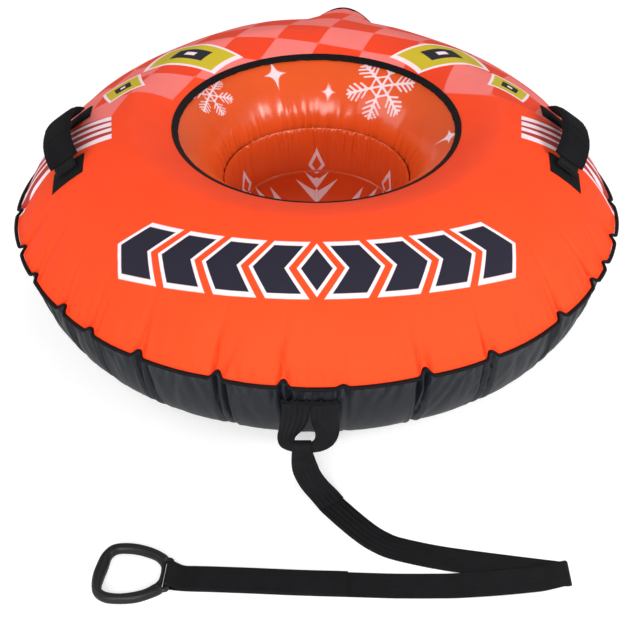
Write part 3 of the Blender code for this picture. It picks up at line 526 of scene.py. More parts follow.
class Nodes:
    """One node tree with its shader, and short ways to add nodes to it."""

    def __init__(self, owner, shader):
        owner.use_nodes = True
        self.owner, self.tree = owner, owner.node_tree
        self.shader = self.tree.nodes[shader]

    def fill(self, node, inputs):
        """Sets a node's inputs, or links them where another node or socket is given."""
        for socket, value in inputs.items():
            value = value.outputs[0] if isinstance(value, bpy.types.Node) else value
            if isinstance(value, bpy.types.NodeSocket):
                self.tree.links.new(value, node.inputs[socket])
            else:
                node.inputs[socket].default_value = value

    def add(self, kind, inputs, **settings):
        """Adds a node, sets its properties and fills its inputs."""
        made = self.tree.nodes.new("ShaderNode" + kind)
        for name, value in settings.items():
            setattr(made, name, value)
        self.fill(made, inputs)
        return made

    def calc(self, operation, *values):
        """One step of arithmetic."""
        return self.add("Math", dict(enumerate(values)), operation=operation)

    def span(self, value, low, high, to_low, to_high):
        """A value brought from one span to another and kept inside it."""
        return self.add("MapRange", {0: value, 1: low, 2: high, 3: to_low, 4: to_high})

    def edge(self, value, at, soft=PRINT_EDGE):
        """One where a value is past a limit, with a soft edge."""
        return self.span(value, at - soft, at + soft, 0.0, 1.0)

    def ink(self, ground, colour, cover):
        """Lays one colour over what is there, where cover is one."""
        return self.add("Mix", {0: cover, 6: ground, 7: (*colour, 1.0)}, data_type="RGBA").outputs[2]

    def cloth(self):
        """The cloth's own map, in metres."""
        return self.add("UVMap", {}, uv_map="cloth")

    def place(self):
        """The place in the object's own axes."""
        return self.add("TexCoord", {}).outputs["Object"]

    def parts(self, vector):
        """A vector's three numbers."""
        return self.add("SeparateXYZ", {0: vector}).outputs

    def marks(self, name):
        """The three numbers that a mesh carries under a name."""
        return self.parts(self.add("Attribute", {}, attribute_name=name).outputs["Vector"])

    def mark(self, name):
        """The one number that a mesh carries under a name."""
        return self.add("Attribute", {}, attribute_name=name).outputs["Fac"]

    def noise(self, vector, scale, detail, **more):
        """Fractal noise."""
        return self.add("TexNoise", {"Vector": vector, "Scale": scale, "Detail": detail, **more})

    def wave(self, value, pitch):
        """A sine that repeats at every pitch."""
        return self.calc("SINE", self.calc("MULTIPLY", value, 2 * math.pi / pitch))

    def weave(self, parts, pitch):
        """Plain weave: the sine along one thread times the sine along the other."""
        return self.calc("MULTIPLY", self.wave(parts[0], pitch), self.wave(parts[1], pitch))

    def mottled(self, cloud, colour, low, high):
        """A colour made darker and brighter by noise."""
        colour = (*colour, 1.0) if isinstance(colour, mathutils.Color) else colour
        return self.add("HueSaturation", {"Value": self.span(cloud, 0.25, 0.75, low, high), "Color": colour})

    def paint(self, cloud, colour, low, high):
        """Gives the shader a mottled colour."""
        self.fill(self.shader, {"Base Color": self.mottled(cloud, colour, low, high)})

    def bump(self, height, distance, strength=1.0, **below):
        """Turns a height in shares of a distance into the shader's normal."""
        made = self.add("Bump", {"Strength": strength, "Distance": distance, "Height": height, **below})
        self.fill(self.shader, {"Normal": made})
        return made


def principled(name, roughness, **sockets):
    """Starts a Principled material and sets the values that are the same all over it."""
    nodes = Nodes(bpy.data.materials.new(name), "Principled BSDF")
    sockets = {socket.replace("_", " "): value for socket, value in sockets.items()}
    nodes.fill(nodes.shader, {"Roughness": roughness, **sockets})
    return nodes


# Diamonds: middle along their row, half length and half width
GEMS = ((0.062, 0.094, 0.062), (-0.084, 0.047, 0.044))
# Side stripes: where each white line starts and ends, and where the red behind them ends
STRIPES = ((0.0, 0.0125), (0.0178, 0.0303), (0.0356, 0.0466), (0.0546, 0.0691))
STRIPE_BLOCK = 0.0691
# Chevrons: pitch, lean, half thickness and border, and the height and half length of their row
CHEVRON_PITCH = 0.070
CHEVRON_LEAN = 0.42
CHEVRON_HALF = 0.029
CHEVRON_BORDER = 0.0058
BAND_HEIGHT = 0.074
BAND_HALF = 0.284


def printed_polyester(colours):
    """Woven polyester, dyed by sublimation printing.

    The ink sits in the yarn, so the prints share the cloth's dull sheen and have no edge of their
    own. The plain weave of 0.25 mm yarn is drawn with a 1.6 mm pitch, as a finer one can't show.
    """
    n = principled("printed_polyester", 0.66, Sheen_Weight=0.02, Sheen_Roughness=0.45,
                   Specular_IOR_Level=0.12)
    cell = n.marks("check")
    even = n.edge(n.weave(cell, 2.0), 0.0, 0.02)
    column, row = (n.calc("FLOOR", cell[axis]) for axis in range(2))
    inside = n.calc("ADD", row, 4.5)
    for step in (-2.5, -1.5, 2.5):
        inside = n.calc("SUBTRACT", inside, n.calc("GREATER_THAN", column, step))
    checked = n.calc("GREATER_THAN", n.calc("MINIMUM", inside, cell[2]), 0.0)
    ground = n.ink((*colours.orange, 1.0), colours.red_check, n.calc("MULTIPLY", even, checked))
    odd = n.calc("SUBTRACT", 1.0, even)
    ground = n.ink(ground, colours.pink_check, n.calc("MULTIPLY", odd, checked))

    across, past, _ = n.marks("stripe")
    begun = n.edge(past, 0.0)
    moved = n.calc("SUBTRACT", across, n.span(past, 0.0, 0.065, 0.0, 0.0060))
    lines = [(across, 0.0, STRIPE_BLOCK, colours.stripe_gap)]
    lines += [(moved, first, last, colours.stripe_white) for first, last in STRIPES]
    for place, first, last, colour in lines:
        line = n.calc("SUBTRACT", n.edge(place, first), n.edge(across, last))
        ground = n.ink(ground, colour, n.calc("MULTIPLY", line, begun))

    along_gems, aside, _ = n.marks("gem")
    side = n.calc("ABSOLUTE", aside)
    reaches = []
    for middle, long, wide in GEMS:
        away = n.calc("DIVIDE", n.calc("ABSOLUTE", n.calc("SUBTRACT", along_gems, middle)), long)
        reaches.append(n.calc("ADD", away, n.calc("DIVIDE", side, wide)))
    level = n.calc("MINIMUM", *reaches)
    for limit, colour in ((1.0, colours.stripe_white), (0.86, colours.yellow), (0.42, colours.ink),
                          (0.13, colours.stripe_white)):
        ground = n.ink(ground, colour, n.calc("SUBTRACT", 1.0, n.edge(level, limit, 0.012)))

    place, level, _ = n.marks("band")
    rise = n.calc("ABSOLUTE", level)
    slant = n.calc("MULTIPLY", rise, CHEVRON_LEAN * BAND_HEIGHT * 2)
    reach = n.calc("ADD", n.calc("ABSOLUTE", place), slant)
    phase = n.calc("ABSOLUTE", n.calc("WRAP", reach, CHEVRON_PITCH / 2, -CHEVRON_PITCH / 2))
    inset = n.calc("SUBTRACT", CHEVRON_HALF, phase)
    inset = n.calc("MINIMUM", inset, n.calc("MULTIPLY_ADD", rise, -BAND_HEIGHT, BAND_HEIGHT / 2))
    inset = n.calc("MINIMUM", inset, n.calc("SUBTRACT", BAND_HALF + CHEVRON_LEAN * BAND_HEIGHT, reach))
    ground = n.ink(ground, colours.stripe_white, n.edge(inset, 0.0))
    ground = n.ink(ground, colours.ink, n.edge(inset, CHEVRON_BORDER))

    cloth = n.cloth()
    n.paint(n.noise(cloth, 14.0, 3.0), ground, 0.96, 1.04)
    n.bump(n.weave(n.parts(cloth), 0.0016), 0.00006)
    return n.owner


def coated_fabric(colours):
    """Polyester cloth coated with PVC on its outer side.

    The coating fills the weave, so the face is smooth and half glossy, with a faint leather grain
    and fine drag wrinkles.
    """
    n = principled("coated_fabric", 0.36, Specular_IOR_Level=0.36)
    cloud = n.noise(n.place(), 9.0, 4.0)
    n.paint(cloud, colours.slate, 0.85, 1.15)
    n.fill(n.shader, {"Roughness": n.span(cloud, 0.3, 0.7, 0.30, 0.44)})
    cloth = n.cloth()
    stretched = n.add("Mapping", {"Vector": cloth, "Scale": (1.0, 0.16, 1.0)})
    wrinkle = n.noise(stretched, 85.0, 3.0, Distortion=0.4)
    faded = n.span(n.parts(cloth)[1], 0.0, 0.12, 1.0, 0.25)
    first = n.bump(n.calc("MULTIPLY", wrinkle, faded), 0.0024, 0.8)
    n.bump(n.add("TexVoronoi", {"Vector": cloth, "Scale": 520.0}), 0.00008, 0.6, Normal=first)
    return n.owner


def orange_vinyl(colours):
    """Calendered PVC sheet, welded under heat and inflated.

    Smooth and glossy, a little translucent, with pale ink printed on it. The floor's disc gets a darker
    orange as painted shade.
    """
    n = principled("orange_vinyl", 0.25, Specular_IOR_Level=0.5, Coat_Weight=0.25, Coat_Roughness=0.18,
                   Subsurface_Weight=0.06, Subsurface_Scale=0.004)
    # Painted shade: the darker orange goes over the floor's disc, where the hollow lies in shade
    ground = n.ink((*colours.vinyl, 1.0), colours.floor_disc_shade, n.mark("disc"))
    ground = n.mottled(n.noise(n.place(), 7.0, 3.0), ground, 0.94, 1.06)
    n.fill(n.shader, {"Base Color": n.ink(ground, colours.vinyl_print, n.edge(n.mark("flake"), 0.0, 0.0005))})
    n.bump(n.noise(n.place(), 45.0, 2.0), 0.0006, 0.5)
    return n.owner


def black_binding(colours):
    """Woven polyester tape: ribs run across it, from the thick weft under the warp."""
    n = principled("black_binding", 0.6, Sheen_Weight=0.01, Sheen_Roughness=0.4, Specular_IOR_Level=0.14)
    cloth = n.cloth()
    n.paint(n.noise(cloth, 60.0, 4.0), colours.black, 0.8, 1.2)
    n.bump(n.wave(n.parts(cloth)[0], 0.0016), 0.00025, 0.8)
    return n.owner


def black_webbing(colours):
    """Polypropylene webbing, woven flat with a herringbone of 2 mm ribs.

    Two rows of slanting ribs lean towards each other, five pairs across 40 mm, drawn at 2.2 mm.
    """
    n = principled("black_webbing", 0.6, Sheen_Weight=0.02, Sheen_Roughness=0.35, Specular_IOR_Level=0.18)
    cloth = n.cloth()
    run, across, _ = n.parts(cloth)
    column = n.calc("PINGPONG", across, 0.004)
    ribs = n.wave(n.calc("ADD", run, column), 0.0022)
    n.paint(n.noise(cloth, 40.0, 4.0), colours.black, 0.75, 1.25)
    n.bump(n.calc("MULTIPLY", ribs, n.edge(column, 0.0004, 0.0003)), 0.0003, 0.9)
    return n.owner


def padded_fabric(colours):
    """Matt polyester canvas over thin foam, in the handles' sleeves and tabs."""
    n = principled("padded_fabric", 0.75, Sheen_Weight=0.01, Sheen_Roughness=0.5, Specular_IOR_Level=0.12)
    n.paint(n.noise(n.place(), 30.0, 4.0), colours.black, 0.75, 1.25)
    n.bump(n.weave(n.parts(n.cloth()), 0.0018), 0.00018)
    return n.owner


def black_plastic(colours):
    """Injection moulded nylon with a fine spark-eroded texture, its roughness varied in patches by noise."""
    n = principled("black_plastic", 0.42, Specular_IOR_Level=0.34)
    cloud = n.noise(n.place(), 22.0, 5.0)
    n.paint(cloud, colours.handle_black, 0.85, 1.15)
    n.fill(n.shader, {"Roughness": n.span(cloud, 0.3, 0.7, 0.34, 0.52)})
    n.bump(n.noise(n.place(), 1400.0, 2.0), 0.00015, 0.35)
    return n.owner


def clear_vinyl(colours):
    """Soft moulded PVC of the valve, smoky and half clear."""
    n = principled("clear_vinyl", 0.22, Transmission_Weight=0.55, IOR=1.53)
    cloud = n.noise(n.place(), 160.0, 3.0)
    n.paint(cloud, colours.valve, 0.85, 1.15)
    n.bump(cloud, 0.0002, 0.4)
    return n.owner


MAKERS = (printed_polyester, coated_fabric, orange_vinyl, black_binding, black_webbing, padded_fabric,
          black_plastic, clear_vinyl)
FINISHES = {}


def finish(name):
    """A material by its name. All of them are made at the first call."""
    if not FINISHES:
        FINISHES.update({maker.__name__: maker(bpy.context.scene.tube_colours) for maker in MAKERS})
    return FINISHES[name]


class BuildCovers(bpy.types.Operator):
    """Makes the printed top cover and the coated lower cover, gathered at the seam"""
    bl_idname = "snowtube.covers"
    bl_label = "Covers"

    def execute(self, context):
        sizes = context.scene.tube_ring
        seam = seam_line(sizes)
        self.top(sizes, seam)
        self.bottom(sizes, seam)
        return {"FINISHED"}

    def area(self, radius, height):
        """Area of a swept section: mean over its columns of the rings that its steps sweep."""
        swept = math.pi * (radius[:, 1:] + radius[:, :-1]) * np.hypot(np.diff(radius), np.diff(height))
        return float(np.sum(swept)) / len(radius)

    def inner_rows(self, last, step):
        """Rows that the inner face keeps, from the last to the first."""
        return np.unique(np.concatenate([np.arange(0, 12, 4), np.arange(12, last, step), [last]]))[::-1]

    def top(self, sizes, seam):
        """Outer face drawn in by creases, then the inner face one cloth deeper, with fewer rows."""
        angles, crest = seam.angles, 49
        radius, height = upper_section(seam.line, seam.spread + seam.flare, seam.level + LIFT_OVER_SEAM,
                                       seam.raised, sizes, crest + 1, 15, seam.loose)
        run = along(radius, height)
        drawn = crease_depth(angles, run[0], sizes.seam_radius, cover_creases())
        drawn *= np.clip(run / CREASE_START, 0.0, 1.0)
        flat_x, flat_y = plan_marks(radius, height, angles, sizes.crest_radius, crest)
        marks = print_marks(radius, angles, flat_x, flat_y)
        radius, height = pushed(radius, height, -drawn)
        inner_r, inner_z = pushed(radius, height, -sizes.cloth)
        pick = self.inner_rows(radius.shape[1] - 1, 10)
        marks = {name: np.concatenate([values, values[:, pick]], axis=1) for name, values in marks.items()}
        uv = np.stack([flat_x, flat_y], -1)
        uv = np.concatenate([uv, uv[:, pick]], axis=1)
        all_r, all_z = np.hstack([radius, inner_r[:, pick]]), np.hstack([height, inner_z[:, pick]])
        cover = spawn("top_cover_cloth", "tube", "printed_polyester", ["top_cover"],
                      turned_grid(all_r, all_z, angles), uv=uv, marks=marks)

    def bottom(self, sizes, seam):
        """Side wall with deep creases, the flat base to its middle, then the same inside."""
        angles = seam.angles
        radius, height = lower_section(seam.line + seam.flare, seam.spread, seam.level - LIFT_OVER_SEAM,
                                       seam.raised, seam.lift, sizes, 40)
        run = along(radius, height)
        drawn = crease_depth(angles, run[0], sizes.seam_radius, shell_creases())
        drawn *= np.clip(run / CREASE_START, 0.0, 1.0) * np.clip(height / CREASE_FOOT, 0.0, 1.0)
        radius, height = pushed(radius, height, drawn)
        base_r = radius[:, -1:] * np.linspace(1.0, 0.0, 9)[1:]
        base_r[:, -1] = LAST_RADIUS
        outer_r, outer_z = np.hstack([radius, base_r]), np.hstack([height, np.zeros_like(base_r)])
        inner_r, inner_z = pushed(radius, height, sizes.cloth)
        inner_z = np.maximum(inner_z, sizes.cloth)
        pick = self.inner_rows(radius.shape[1] - 1, 8)
        all_r = np.hstack([outer_r, base_r[:, ::-3], inner_r[:, pick]])
        all_z = np.hstack([outer_z, np.full_like(base_r[:, ::-3], sizes.cloth), inner_z[:, pick]])
        run = along(all_r, all_z)
        middle_radius = 0.45
        uv = np.stack([np.broadcast_to(angles[:, None] * middle_radius, run.shape), run], -1)
        uv = np.concatenate([uv, uv[:1] + np.array([2 * math.pi * middle_radius, 0.0])])
        cover = spawn("bottom_cover_cloth", "tube", "coated_fabric", ["bottom_cover"],
                      turned_grid(all_r, all_z, angles), uv=uv)


class BuildEdging(bpy.types.Operator):
    """Makes the welt cord in the seam and the elastic binding round the rim"""
    bl_idname = "snowtube.edging"
    bl_label = "Piping and binding"

    def execute(self, context):
        sizes = context.scene.tube_ring
        seam = seam_line(sizes)
        self.piping(sizes, seam.angles, seam.line + seam.spread + seam.flare, seam.level + seam.raised)
        self.binding(sizes, seam.angles)
        return {"FINISHED"}

    def piping(self, sizes, angles, seam, level):
        """A circle carried along the seam, just outside the covers' edges."""
        turn = turns(10)
        half = sizes.piping / 2
        radius = seam[:, None] + 0.0003 + half + half * np.cos(turn)
        height = level[:, None] + half * np.sin(turn)
        run = path_run(np.stack([angles * 0.49, seam + level], -1))
        uv = cloth_map(np.append(run, run[-1] + 0.01), np.append(turn, 2 * math.pi) * half)
        points = turned_grid(radius, height, angles)
        spawn("seam_piping_cord", "tube", "black_binding", ["seam_piping"], points, uv=uv)

    def binding(self, sizes, angles):
        """A rolled tape: a rounded U carried round the rim, its edge waved by the pull of the elastic."""
        rng = np.random.default_rng(5)
        half, width = 0.0021, 0.0095
        turn = np.linspace(math.pi / 2, -math.pi / 2, 9)
        outer = np.array([
            (-width, 0.0011), *((0.0003 + half * math.cos(a), half * math.sin(a) - 0.0004) for a in turn),
            (-width, 0.0007 - 2 * half), (-width - 0.0003, -0.0020), (-width, -0.0014), (0.0002, -0.0014),
            (0.0002, 0.0003), (-width, 0.0003), (-width - 0.0003, 0.0007)])
        step = 0.0005
        flat = sizes.rim_radius - np.minimum(outer[:, 0], 0.0) * 0.87
        slope = (inner_height(flat + step, sizes) - inner_height(flat, sizes)) / step
        size = np.hypot(1.0, slope)
        past = np.maximum(outer[:, 0], 0.0)
        wave = waves(rng, 0.3, angles, (37, 61, 83, 112))
        wave = 0.0003 * wave[:, None] * np.clip((outer[:, 0] + width) / width, 0.2, 1.0)
        radius = flat - (past + wave) / size - slope * outer[:, 1] / size
        height = inner_height(flat, sizes) - slope * (past + wave) / size + outer[:, 1] / size
        round_rim = np.append(angles, angles[0] + 2 * math.pi) * sizes.rim_radius
        uv = cloth_map(round_rim, path_run(np.vstack([outer, outer[:1]])))
        points = turned_grid(radius, height, angles)
        spawn("rim_binding_tape", "tube", "black_binding", ["rim_binding"], points, uv=uv)


def stroke_depth(x, y, ax, ay, bx, by, half):
    """Signed distance to the edge of a straight stroke, positive inside it."""
    dx, dy = bx - ax, by - ay
    t = np.clip(((x - ax) * dx + (y - ay) * dy) / (dx * dx + dy * dy), 0.0, 1.0)
    return half - np.hypot(x - ax - t * dx, y - ay - t * dy)


def polygon_depth(x, y, corners):
    """Signed distance to a polygon's edge, positive inside it."""
    corners = np.asarray(corners, float)
    outside = np.full(x.shape, -np.inf)
    inside = np.zeros(x.shape, bool)
    for (ax, ay), (bx, by) in zip(corners, np.roll(corners, -1, axis=0)):
        outside = np.maximum(outside, stroke_depth(x, y, ax, ay, bx, by, 0.0))
        rise = by - ay if by != ay else 1e-9
        inside ^= ((ay > y) != (by > y)) & (x < (bx - ax) * (y - ay) / rise + ax)
    return np.where(inside, -outside, outside)


def star_depth(x, y, tall, wide):
    """Four-pointed star: positive where the roots of the two shares add to less than one."""
    total = (np.abs(x) / wide) ** 0.33 + (np.abs(y) / tall) ** 0.33
    return (1.0 - total) * 0.25 * min(wide, tall)


def turned(x, y, angle):
    """Places in axes that are turned by an angle."""
    return x * math.cos(angle) + y * math.sin(angle), y * math.cos(angle) - x * math.sin(angle)


def snowflake_depth(x, y, reach, turn):
    """Six-armed snowflake: arms with barbs, and a hexagon about the middle."""
    strokes = [(0.0, 0.0, 1.0, 0.0, 0.034), (0.34, 0.0, 0.17, 0.34 * 0.866, 0.027)]
    for start, barb in ((0.42, 0.30), (0.58, 0.34), (0.74, 0.28), (0.88, 0.16)):
        strokes += [(start, 0.0, start + 0.62 * barb, side * 0.78 * barb, 0.027) for side in (-1, 1)]
    depths = []
    for k in range(6):
        u, v = turned(x, y, turn + math.pi / 3 * k)
        depths += [stroke_depth(u, v, *(reach * value for value in stroke)) for stroke in strokes]
    return np.maximum.reduce(depths)


def fold_table(seed, count, jitter, depths, widths, reaches):
    """Folds at seeded angles: angle, depth, width and reach, each drawn between two limits."""
    rng = np.random.default_rng(seed)
    angle = (np.arange(count) + rng.uniform(-jitter, jitter, count)) * 2 * math.pi / count
    return np.stack([angle] + [rng.uniform(*limits, count) for limits in (depths, widths, reaches)], -1)


def fold_depth(angles, run, radius, table, growth, fall, power):
    """How deep the sheet is folded: a bell of the distance sideways times a fall off from the weld."""
    total = np.zeros((len(angles), len(run)))
    for angle, depth, width, reach in table:
        sideways = np.abs(signed(angles[:, None] - angle)) * radius
        bell = np.exp(-(sideways / (width + growth * run)) ** power)
        total += depth * np.exp(-(run / reach) ** fall) * bell
    return total


PUCKERS = 92
PLEATS = 122
FLOOR_COLUMNS = 1040
UNDER_COVER = 0.004
RIM_DROP = 0.0034
VINYL = 0.0007
FLAKE_SCALE = 1.21
# The floor's snowflake: outer and inner edge of an arm's hollow diamond, and its barbs on one side
FLAKE_DIAMOND = (((0.163, 0.0), (0.186, 0.020), (0.228, 0.0), (0.186, -0.020)),
                 ((0.1735, 0.0), (0.187, 0.0115), (0.210, 0.0), (0.187, -0.0115)))
FLAKE_BARBS = (((0.112, 0.0), (0.172, 0.028), (0.146, 0.006), (0.152, 0.0)),
               ((0.066, 0.004), (0.146, 0.048), (0.118, 0.020), (0.104, 0.004)))
# Small prints on the ring's inner shoulder: direction in degrees, radius, and shape with its sizes
PRINTS = (
    (110.4, 0.212, star_depth, 0.068, 0.040), (83.3, 0.183, star_depth, 0.062, 0.020),
    (-5.8, 0.218, star_depth, 0.052, 0.040), (-97.0, 0.206, star_depth, 0.032, 0.024),
    (55.2, 0.203, snowflake_depth, 0.062, 0.47), (147.5, 0.218, snowflake_depth, 0.042, 0.35),
    (-64.0, 0.205, snowflake_depth, 0.050, 0.10), (-130.0, 0.200, star_depth, 0.030, 0.022),
)


class BuildInflatable(bpy.types.Operator):
    """Makes the inflated vinyl ring and the pleated seat floor welded to its waist"""
    bl_idname = "snowtube.inflatable"
    bl_label = "Inflatable"

    def execute(self, context):
        sizes = context.scene.tube_ring
        self.ring(sizes)
        self.floor(sizes)
        return {"FINISHED"}

    def ring(self, sizes):
        """One closed ring of vinyl: under the covers it follows their creases, in the hole it is smooth."""
        angles = seam_line(sizes).angles[::2]
        line = np.full(len(angles), sizes.seam_radius - 0.015)
        none = np.zeros(len(angles))
        radius, height = upper_section(line, none, cover_level(sizes), none, sizes, 18, 8)
        run = along(radius, height)
        drawn = crease_depth(angles, run[0], sizes.seam_radius, cover_creases())
        reach = np.interp(run[0], [0.0, run[0, -1] - 0.03, run[0, -1]], [UNDER_COVER, UNDER_COVER, RIM_DROP])
        radius, height = pushed(radius, height, -drawn - reach)
        shoulder_r = np.linspace(1.0, 0.0, 50)[1:] ** 0.9
        shoulder_r = sizes.waist_radius + (sizes.rim_radius - sizes.waist_radius) * shoulder_r
        shoulder_z = inner_height(shoulder_r, sizes)
        from_rim = along(shoulder_r[None], shoulder_z[None])[0]
        from_weld = from_rim[-1] - from_rim
        table = fold_table(31, PUCKERS, 0.35, (0.00093, 0.0062), (0.0025, 0.0055), (0.017, 0.0442))
        puckers = fold_depth(angles, from_weld, sizes.waist_radius, table, 0.05, 1.5, 2.0)
        sunk = RIM_DROP * (1 - smooth_step(from_rim, 0.0, 0.055))
        shoulder_r, shoulder_z = (np.broadcast_to(part, puckers.shape) for part in (shoulder_r, shoulder_z))
        shoulder_r, shoulder_z = pushed(shoulder_r, shoulder_z, -puckers - sunk)
        foot = np.linspace(0.0, 1.0, 6)[1:]
        behind_floor = 0.0004 + 0.0042 * foot ** 0.5
        wall_r = sizes.waist_radius + (sizes.floor_radius - sizes.waist_radius) * foot + behind_floor
        wall_z = sizes.waist_height + (sizes.floor_height - sizes.waist_height) * foot
        heel_r, heel_z = np.array([0.200, 0.235, 0.300]), np.array([0.040, 0.010, 0.004])
        level = none + sizes.seam_height - 0.001
        lower_r, lower_z = lower_section(line, none, level, none, none, sizes, 16)
        lower_r, lower_z = lower_r[:, STRIP_ROWS - 1:], lower_z[:, STRIP_ROWS - 1:]
        lower_run = along(lower_r, lower_z)
        lower_drawn = crease_depth(angles, lower_run[0], sizes.seam_radius, shell_creases())
        lower_drawn *= np.clip(lower_z / CREASE_FOOT, 0.0, 1.0)
        lower_r, lower_z = pushed(lower_r, lower_z, lower_drawn + UNDER_COVER)
        inside_r = np.tile(np.concatenate([wall_r, heel_r]), (len(angles), 1))
        inside_z = np.tile(np.concatenate([wall_z, heel_z]), (len(angles), 1))
        all_r = np.hstack([radius, shoulder_r, inside_r, lower_r[:, ::-1]])
        all_z = np.hstack([height, shoulder_z, inside_z, lower_z[:, ::-1]])
        flake = np.full(all_r.shape, -1.0)
        first = radius.shape[1]
        span = slice(first - 6, first + shoulder_r.shape[1])
        run = along(all_r, all_z)
        for degrees, at_radius, draw, *shape in PRINTS:
            x = -signed(angles[:, None] - math.radians(degrees)) * all_r[:, span]
            place = [np.interp(-at_radius, -row, line) for row, line in zip(all_r[:, span], run[:, span])]
            y = np.array(place)[:, None] - run[:, span]
            flake[:, span] = np.maximum(flake[:, span], draw(x, y, *shape))
        spawn("air_tube_vinyl", "tube", "orange_vinyl", ["air_tube"], turned_grid(all_r, all_z, angles),
              marks={"flake": flake, "disc": np.zeros_like(flake)})

    def floor(self, sizes):
        """Pleated wall under the weld, a rounded corner and a shallow disc, then the same inside."""
        angles = turns(FLOOR_COLUMNS)
        corner_size = 0.005
        wall = np.linspace(0.0, 1.0, 36)
        wall_z = sizes.waist_height + (sizes.disc_height + corner_size - sizes.waist_height) * wall
        lean = (sizes.disc_radius - sizes.waist_radius) / (sizes.waist_height - sizes.disc_height)
        wall_r = sizes.waist_radius - VINYL + lean * (sizes.waist_height - wall_z)
        run = wall * math.hypot(sizes.disc_radius - sizes.waist_radius,
                                sizes.waist_height - sizes.disc_height)
        table = fold_table(47, PLEATS, 0.36, (0.3 * sizes.pleat_depth, sizes.pleat_depth), (0.0021, 0.0036),
                           (0.035, 0.080))
        pleats = fold_depth(angles, run, sizes.waist_radius, table, 0.010, 2.4, 1.7)
        pleats *= np.clip(run / 0.006, 0.15, 1.0)
        bead = 0.0009 * np.exp(-((run - 0.0022) / 0.0012) ** 2) * (1 + 0.5 * np.sin(165 * angles)[:, None])
        pleated_r = wall_r - pleats - bead
        corner = np.linspace(0.0, math.pi / 2, 9)[1:]
        corner_r = wall_r[-1] - corner_size * (1 - np.cos(corner))
        corner_z = sizes.disc_height + corner_size * (1 - np.sin(corner))
        disc_r = np.linspace(corner_r[-1], 0.0, 28)[1:]
        disc_r[-1] = LAST_RADIUS
        disc_z = sizes.disc_height - sizes.floor_sag * (1 - (disc_r / corner_r[-1]) ** 2)
        rows = (FLOOR_COLUMNS, 1)
        outer_r = np.hstack([pleated_r, np.tile(np.concatenate([corner_r, disc_r]), rows)])
        outer_z = np.tile(np.concatenate([wall_z, corner_z, disc_z]), rows)
        under_r, under_z = pushed(outer_r[:, :-1], outer_z[:, :-1], -VINYL)
        pick = np.unique(np.concatenate([np.arange(0, 44, 6), np.arange(44, under_r.shape[1], 9)]))[::-1]
        all_r = np.hstack([outer_r, outer_r[:, -1:], under_r[:, pick]])
        all_z = np.hstack([outer_z, outer_z[:, -1:] - VINYL, under_z[:, pick]])
        sheet = along(outer_r.mean(axis=0, keepdims=True), outer_z[:1])[0]
        flat_r = np.broadcast_to(sheet[-1] - sheet, outer_r.shape)
        x, y = flat_r * np.cos(angles)[:, None], flat_r * np.sin(angles)[:, None]
        flake = self.floor_flake(x * FLAKE_SCALE, y * FLAKE_SCALE)
        # Mask of the painted shade: the disc and a millimetre past it take the darker floor colour, with a
        # soft edge
        disc = np.clip((sizes.disc_radius + 0.001 - flat_r) / 0.006, 0.0, 1.0)
        blank = np.full((FLOOR_COLUMNS, all_r.shape[1] - outer_r.shape[1]), -1.0)
        marks = {"flake": np.hstack([flake, blank]), "disc": np.hstack([disc, 0 * blank])}
        floor = spawn("seat_floor_vinyl", "tube", "orange_vinyl", ["seat_floor"],
                      turned_grid(all_r, all_z, angles), marks=marks)

    def floor_flake(self, x, y):
        """Large six-armed snowflake on the floor: barbed arms that end in hollow diamonds."""
        depths = []
        for k in range(6):
            u, v = turned(x, y, math.pi / 2 + math.pi / 3 * k)
            outer, inner = (polygon_depth(u, v, corners) for corners in FLAKE_DIAMOND)
            depths += [np.minimum(outer, -inner), stroke_depth(u, v, 0.0, 0.0, 0.105, 0.0, 0.0035)]
            depths += [polygon_depth(u, v, np.array(corners) * (1, side)) for corners in FLAKE_BARBS
                       for side in (-1, 1)]
        return np.maximum.reduce(depths)


class DressValve(bpy.types.Operator):
    """Gives the valve body and its stopper their clear vinyl"""
    bl_idname = "snowtube.valve"
    bl_label = "Valve"

    def execute(self, context):
        for name in ("valve_base", "valve_plug"):
            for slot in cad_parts[name].material_slots:
                slot.material = finish("clear_vinyl")
        return {"FINISHED"}


# Carrying handles: reaches are measured from the middle of a handle along its tangent
HANDLE_RADIUS = 0.4000
HANDLE_DEGREES = 3.9
TAB_END = 0.103
TAB_TOP = 0.0570
SLEEVE_HALF = 0.070
WEBBING_END = 0.074
PIVOT_HEIGHT = 0.0095
HANDLE_RISE = 0.0245
ARCH_SQUARENESS = 2.6
ARCH_POWER = 0.9
SLEEVE_END = 0.005
SLOT_GAP = 0.0003
TAB_THICKNESS = 0.0022
# The webbing's way out of a tab: reach and height over the cover
TAB_ROUTE = ((0.0895, 0.0032), (0.0855, 0.0034), (0.0820, 0.0048), (0.0785, 0.0080), (0.0743, PIVOT_HEIGHT))


def cover_height(radius, sizes):
    """Height of the top cover at a radius outside the crest."""
    level = cover_level(sizes)
    share = (radius - sizes.crest_radius) / (sizes.seam_radius - sizes.lap - sizes.crest_radius)
    return level + (sizes.height - level) * bulge(share, UPPER_POWER)


def handle_frame(side, sizes):
    """Seat, tangent, down-slope and normal directions of a handle, side -1 left or +1 right."""
    turned_by = math.radians(-HANDLE_DEGREES if side > 0 else 180.0 + HANDLE_DEGREES)
    outward = np.array((math.cos(turned_by), math.sin(turned_by), 0.0))
    step = 0.0003
    before, seat, after = (float(cover_height(HANDLE_RADIUS + k * step, sizes)) for k in (-1, 0, 1))
    slope = (after - before) / (2 * step)
    return (outward * HANDLE_RADIUS + SKY * seat, np.cross(SKY, outward) * side, unit(outward + SKY * slope),
            unit(SKY - outward * slope))


